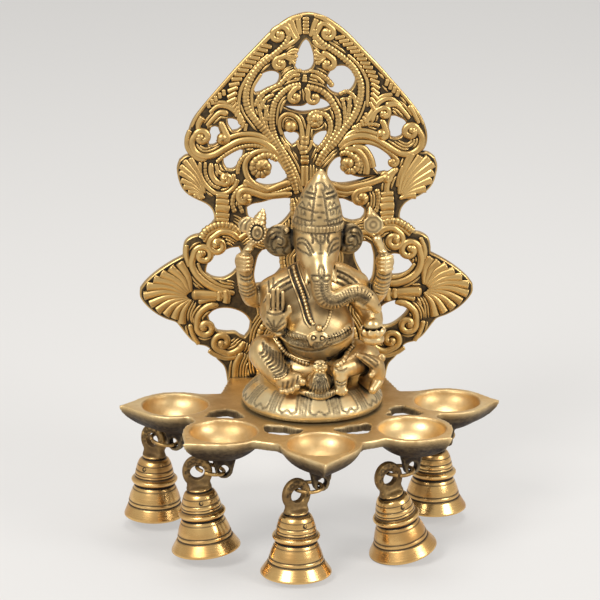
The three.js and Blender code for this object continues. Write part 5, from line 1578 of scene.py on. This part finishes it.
    # cuffs, toe gaps and the small animal's coat
    for points in (
            [(-21.8, 23.8), (-17.5, 24.8), (-13.4, 28.6)], [(-21.2, 22.6), (-16.8, 23.4), (-12.4, 27.2)],
            [(-12.8, 18.6), (-11.8, 22.4)], [(-15.2, 17.8), (-14.4, 21.6)], [(-17.4, 17.6), (-17, 20.6)],
            [(-10, 20.6), (-9.4, 24)], [(10.4, 18.6), (12.4, 18), (14.8, 18.8)],
            [(10.2, 20.4), (12.4, 19.6), (15, 20.6)], [(9.6, 27), (12.4, 25.8), (15.6, 27)],
            [(22.8, 31), (26, 28.6), (28.6, 26)], [(24.2, 32.4), (27.6, 30), (30.4, 27.2)],
            [(25.6, 33.6), (29, 31.4), (31.4, 29.4)]):
        engrave(points, 0.36, 0.85)
    # its eye, the toenails and the knot of the sash
    ringMark(30.8, 28.2, 0.5)
    for x, z in ((-12.6, 17), (-15.2, 16.2), (-9.8, 18.6), (-7, 21.2)):
        ringMark(x, z, 0.6, 0.26)
    for x, z in ((-1.3, 42.8), (3.1, 42.6)):
        ringMark(x, z, 1.25, 0.42)
    engrave([(-4.3, 41), (-3.4, 38.6), (-1, 36.9), (1.8, 36.6), (4.4, 38), (5.8, 40.6)], 0.42)
    for i in range(5):
        engrave([(-1.6 + 1.2 * i, 37.6 + 0.25 * (i - 2) ** 2), (-0.4 + 0.65 * i, 40.4)], 0.32)
    # sash lines over the belly and its lower edge
    for points in (
            [(-19, 46.2), (-12, 44.6), (-5, 43)], [(-19, 42.6), (-12.4, 39.6), (-6, 41.6)],
            [(-12.5, 38.6), (-5, 37.4), (1.5, 38.6), (5.5, 42)],
            [(-13, 36.4), (-4, 34.8), (3.5, 36), (9, 39.4)], [(4.6, 42), (10.5, 42.4), (18, 44.8)],
            [(5.6, 38.6), (12, 40), (18.6, 42.6)], [(-11, 33), (-4.6, 30.4), (2, 29.8), (9, 31), (15, 34.6)]):
        engrave(points, 0.42, 0.9)
    for i in range(9):
        engrave([(-17.4 + 1.5 * i, 46.4 - 0.45 * i), (-15.6 + 1.5 * i, 42.6 - 0.45 * i)], 0.34, 0.85)
        engrave([(-15.5 + 1.45 * i, 42 - 0.4 * i), (-13.9 + 1.4 * i, 38.6 - 0.2 * i)], 0.34, 0.85)
        engrave([(6.2 + 1.4 * i, 43.4 + 0.32 * i), (7.2 + 1.4 * i, 40.4 + 0.36 * i)], 0.34, 0.85)
    # shawl over the shoulders: lines that run with the arm, a row of dots between them
    for points in (
            [(-11, 70.6), (-16, 67.6), (-21, 63.8), (-25.6, 57.5)],
            [(-11, 68), (-15.5, 65.2), (-19.8, 61.4), (-23, 56)],
            [(-11.2, 65.4), (-14.8, 62.8), (-18, 59), (-20, 54)],
            [(10.5, 72.8), (16, 70.4), (21.5, 66.6), (26.6, 60)],
            [(10.5, 70.2), (15, 68), (20, 64), (24, 58.5)],
            [(10.8, 67.4), (14.4, 65.4), (18.4, 61.6), (21.6, 57)]):
        engrave(points, 0.5, start=-17)
    for u in range(5):
        ringMark(-12.6 - 2 * u, 68.1 - 1.35 * u - 0.12 * u * u, 0.6, 0.34, -17)
        ringMark(12.6 + 2 * u, 70.4 - 0.95 * u - 0.16 * u * u, 0.6, 0.34, -17)
    # folds of the sleeves behind
    for u in range(4):
        engrave([(-38 + 0.3 * u, 66 - 2 * u), (-34, 65 - 2 * u), (-30, 66.4 - 2 * u)], 0.34, 0.75)
        engrave([(31.4, 66.4 - 2 * u), (35.4, 65 - 2 * u), (39, 66 - 2 * u)], 0.34, 0.75)
    # wrist and arm bangles
    for points in (
            [(-25.4, 48.4), (-21, 46), (-16, 48)], [(-37.5, 71.6), (-34.5, 70.4), (-31.4, 71.4)],
            [(-37.2, 69.4), (-34.2, 68.2), (-31, 69)], [(32.6, 71.4), (35.6, 70.2), (38.6, 71)],
            [(32.2, 69), (35.4, 67.8), (38.4, 68.6)]):
        engrave(points, 0.42, 0.9)
    for u in (0, 2):
        engrave([(-37.6 + 1.2 * u, 96.4), (-37 + 1.3 * u, 99.6), (-34.6 + 1.1 * u, 101.4)], 0.34, 0.85)
    # disc faces
    for wide, tall in ((1.4, 2.0), (3.1, 4.2)):
        engrave(arcPoints(np.linspace(0, 2 * math.pi, 13), wide, tall, 94.8) + [-29.1, 0], 0.36)
    for radius in (1.7, 4.1):
        corners = arcPoints(np.radians(np.arange(22.5, 383, 45)), radius, rise=98) + [29.6, 0]
        for a, b in zip(corners, corners[1:]):
            engrave([a, b], 0.3, 0.8)
    for spots, radius, dark in lines:
        cut(limb(spots, radius, 2), 0.1, dark, 0.6)
    # flutes round the crown's band, and the step higher up, which the middle strip hides
    for i in range(44):
        turn = 2 * math.pi * i / 44
        x, y = 1.6 + 13.3 * math.cos(turn), -6 + 13.3 * math.sin(turn)
        if y < 4:
            cut(limb([(x, y, 96.3), (x, y, 98.4)], 0.32), 0.1, 0.9, 0.3)
    for height, radius in ((95.5, 13.0), (99.3, 12.9)):
        ring = [(x + 1.6, y, height) for x, y in arcPoints(np.linspace(0, 2 * math.pi, 40), radius, rise=-6)]
        cut(limb(ring, 0.42, 3), 0.1, 0.95, 0.4)
    # the bolt's hole
    cut(limb([(0, 0, 5), (0, 0, 11.5)], tray["boltHole"]), 0.1)
    return block


seat = makePiece("lotus_seat", seatSkin(), "seat_brass", figurePlace)
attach(seat, "lamp")
print("seat", len(seat.data.polygons))


def inBands(points, faces, tarnishAndShade, levels):
    # one skin as several pieces that meet at these heights
    middle = points[faces].mean(1)[:, 2]
    for low, high in zip([-99.0] + levels, levels + [999.0]):
        kept = faces[(middle >= low) & (middle < high)]
        used, renamed = np.unique(kept, return_inverse=True)
        yield points[used], renamed.reshape(kept.shape), tarnishAndShade[used]


figureBlock = figureSkin()
for name, skin in zip(("figure_legs", "figure_body", "figure_crown"),
                      inBands(*figureBlock.mesh(), figure["bands"])):
    figurePiece = makePiece(name, skin, "figure_brass", figurePlace)
    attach(figurePiece, "lamp")
    if name == "figure_legs":
        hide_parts("idol")
    print(name, len(skin[1]))


# cords and anklets as (points, radius, bead spacing), and single beads as (x, z, radius, lift)
cords = [
    ([(-10.6, 75.5), (-9, 70), (-6.8, 64.5), (-4.7, 58), (-3, 52), (-1, 49)], 1.05, 1.5),
    ([(-12.8, 74), (-11.6, 69), (-9.2, 63), (-7, 57), (-5.2, 51), (-2.8, 47.5)], 0.55, 0),
    ([(-8.2, 76), (-6.6, 70.5), (-4.6, 65.5), (-2.6, 60)], 0.5, 0),
    ([(9, 59.5), (7.6, 54), (5.5, 49), (3, 46)], 0.75, 1.15),
    ([(-20, 40), (-17.5, 35), (-14, 31), (-9, 28), (-3, 26.4)], 1.5, 1.5),
    ([(6, 27.2), (11, 28.8), (16, 31.4), (20, 34.6)], 1.5, 1.5),
    ([(-22, 41), (-19, 36.4), (-15.5, 32.6), (-10, 29.6), (-3, 28.2)], 0.55, 0),
    ([(-21.6, 22.2), (-17.4, 23), (-12.8, 26.6)], 0.75, 1.2),
    ([(11, 76), (9.5, 70)], 0.7, 1.1),
]
beads = [(1.6, 47.6, 1.7, 0.2), (1.6, 47.6, 0.62, 1.75)]
beads += [(1.8 + x, z, 0.85, -0.25) for x, z in arcPoints(fullTurn(8), 2.2, rise=28)]
beads += [(1.8, 28, 0.9, 0), (-1.3, 42.8, 0.85, 0), (3.1, 42.6, 0.85, 0)]
beads += [(-29.1 + x, z, 0.68, 0) for x, z in arcPoints(fullTurn(18), 4.0, 5.1, 94.8)]


def skinCord(points, radius, spacing):
    # a plain or beaded cord laid over the figure's front, which it follows loosely
    path, along = smoothPath(points, 0.22)
    depth = [figureBlock.frontOf(x, z) for x, z in path]
    met = [y is not None for y in depth]
    width = 9
    padded = np.pad(np.array(depth)[met].astype(float), width, mode="edge")
    depth = np.convolve(padded, np.ones(2 * width + 1) / (2 * width + 1), "valid") - 0.25
    keep, dark = beading(along[met], spacing, 0.3) if spacing else (1.0, None)
    return tubeAlong(np.stack([path[met, 0], depth, path[met, 1]], 1), radius * keep, 10, marks=dark)


def figureTrims():
    parts = [skinCord(*cord) for cord in cords]
    for x, z, radius, lift in beads:
        points, faces = knob(radius, 1.0, 8, 12)
        parts.append((points + [x, figureBlock.frontOf(x, z) - lift, z], faces))
    return joinParts(parts)


trims = makePiece("figure_cords", figureTrims(), "figure_brass", figurePlace)
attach(trims, "lamp")
print("cords", len(trims.data.polygons))


# Fasteners under the seat and in the panel's foot
fasteners = {"boltHead": 8.0, "boltTall": 3.5, "washerTall": 1.0, "play": 0.3}
washerProfile = [(2.8, 0), (2.8, -1), (6.7, -1), (7, -0.75), (7, -0.2), (6.8, 0), (2.8, 0)]
screwProfile = [(0, -12), (1.5, -12), (2, -11.4), (2, -2.2), (3.35, -0.65), (3.35, -0.3), (0, -0.3)]


def addFasteners():
    y = tray["hubY"]
    under = -tray["plate"] - 2 * fasteners["play"] - fasteners["washerTall"]
    block = Casting((-5.4, -5.4, -4.4), (5.4, 5.4, 1), 0.3)
    hexagon = arcPoints(fullTurn(6), fasteners["boltHead"] / math.sqrt(3))
    block.add(slab(hexagon, -fasteners["boltTall"], 0, 2, 0.25), 0.1)
    # the bevel round its corners
    block.cut(((-5, -5, -4.4), (5, 5, 0.5), lambda x, y, z: -(np.hypot(x, y) - 0.9 * (z + 3.5) - 4.05)), 0.1)
    thread = [(2.45 if i % 2 else 2.2, -0.4 + 0.4 * i) for i in range(36)]
    shank = turnedBody([(0, -0.5)] + thread + [(0, 14)], 32, 9)
    bolt = joinParts([block.mesh()[:2], shank[:2]])
    boltPiece = makePiece("idol_bolt_head", bolt, "dark_brass", (0, y, under))
    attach(boltPiece, "lamp")
    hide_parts("idol_bolt")
    points, faces, _ = turnedBody(washerProfile, 64, 0.8)
    washerPiece = makePiece("idol_washer_ring", joinParts([(points, faces[:, ::-1])]), "dark_brass",
                            (0, y, -tray["plate"] - fasteners["play"]))
    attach(washerPiece, "lamp")
    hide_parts("idol_washer")
    for name, side in (("left", -1), ("right", 1)):
        screw = Casting((-4, -4, -13), (4, 4, 0.5), 0.22)
        screw.add(turnedShape(screwProfile, (0, 0, 0)), 0.1)
        screw.cut(slab([(-4, -0.4), (4, -0.4), (4, 0.4), (-4, 0.4)], -1.3, 1), 0.05, 0.8, 0.3)
        points, faces, tarnishAndShade = screw.mesh()
        points = points[:, [0, 2, 1]] * [1, 1, -1]
        made = makePiece("panel_screw_%s_slotted" % name, (points, faces, tarnishAndShade), "dark_brass",
                         (side * tray["screwX"], 0, tray["screwZ"]))
        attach(made, "lamp")
        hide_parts("panel_screw_%s" % name)


addFasteners()
print("fasteners")
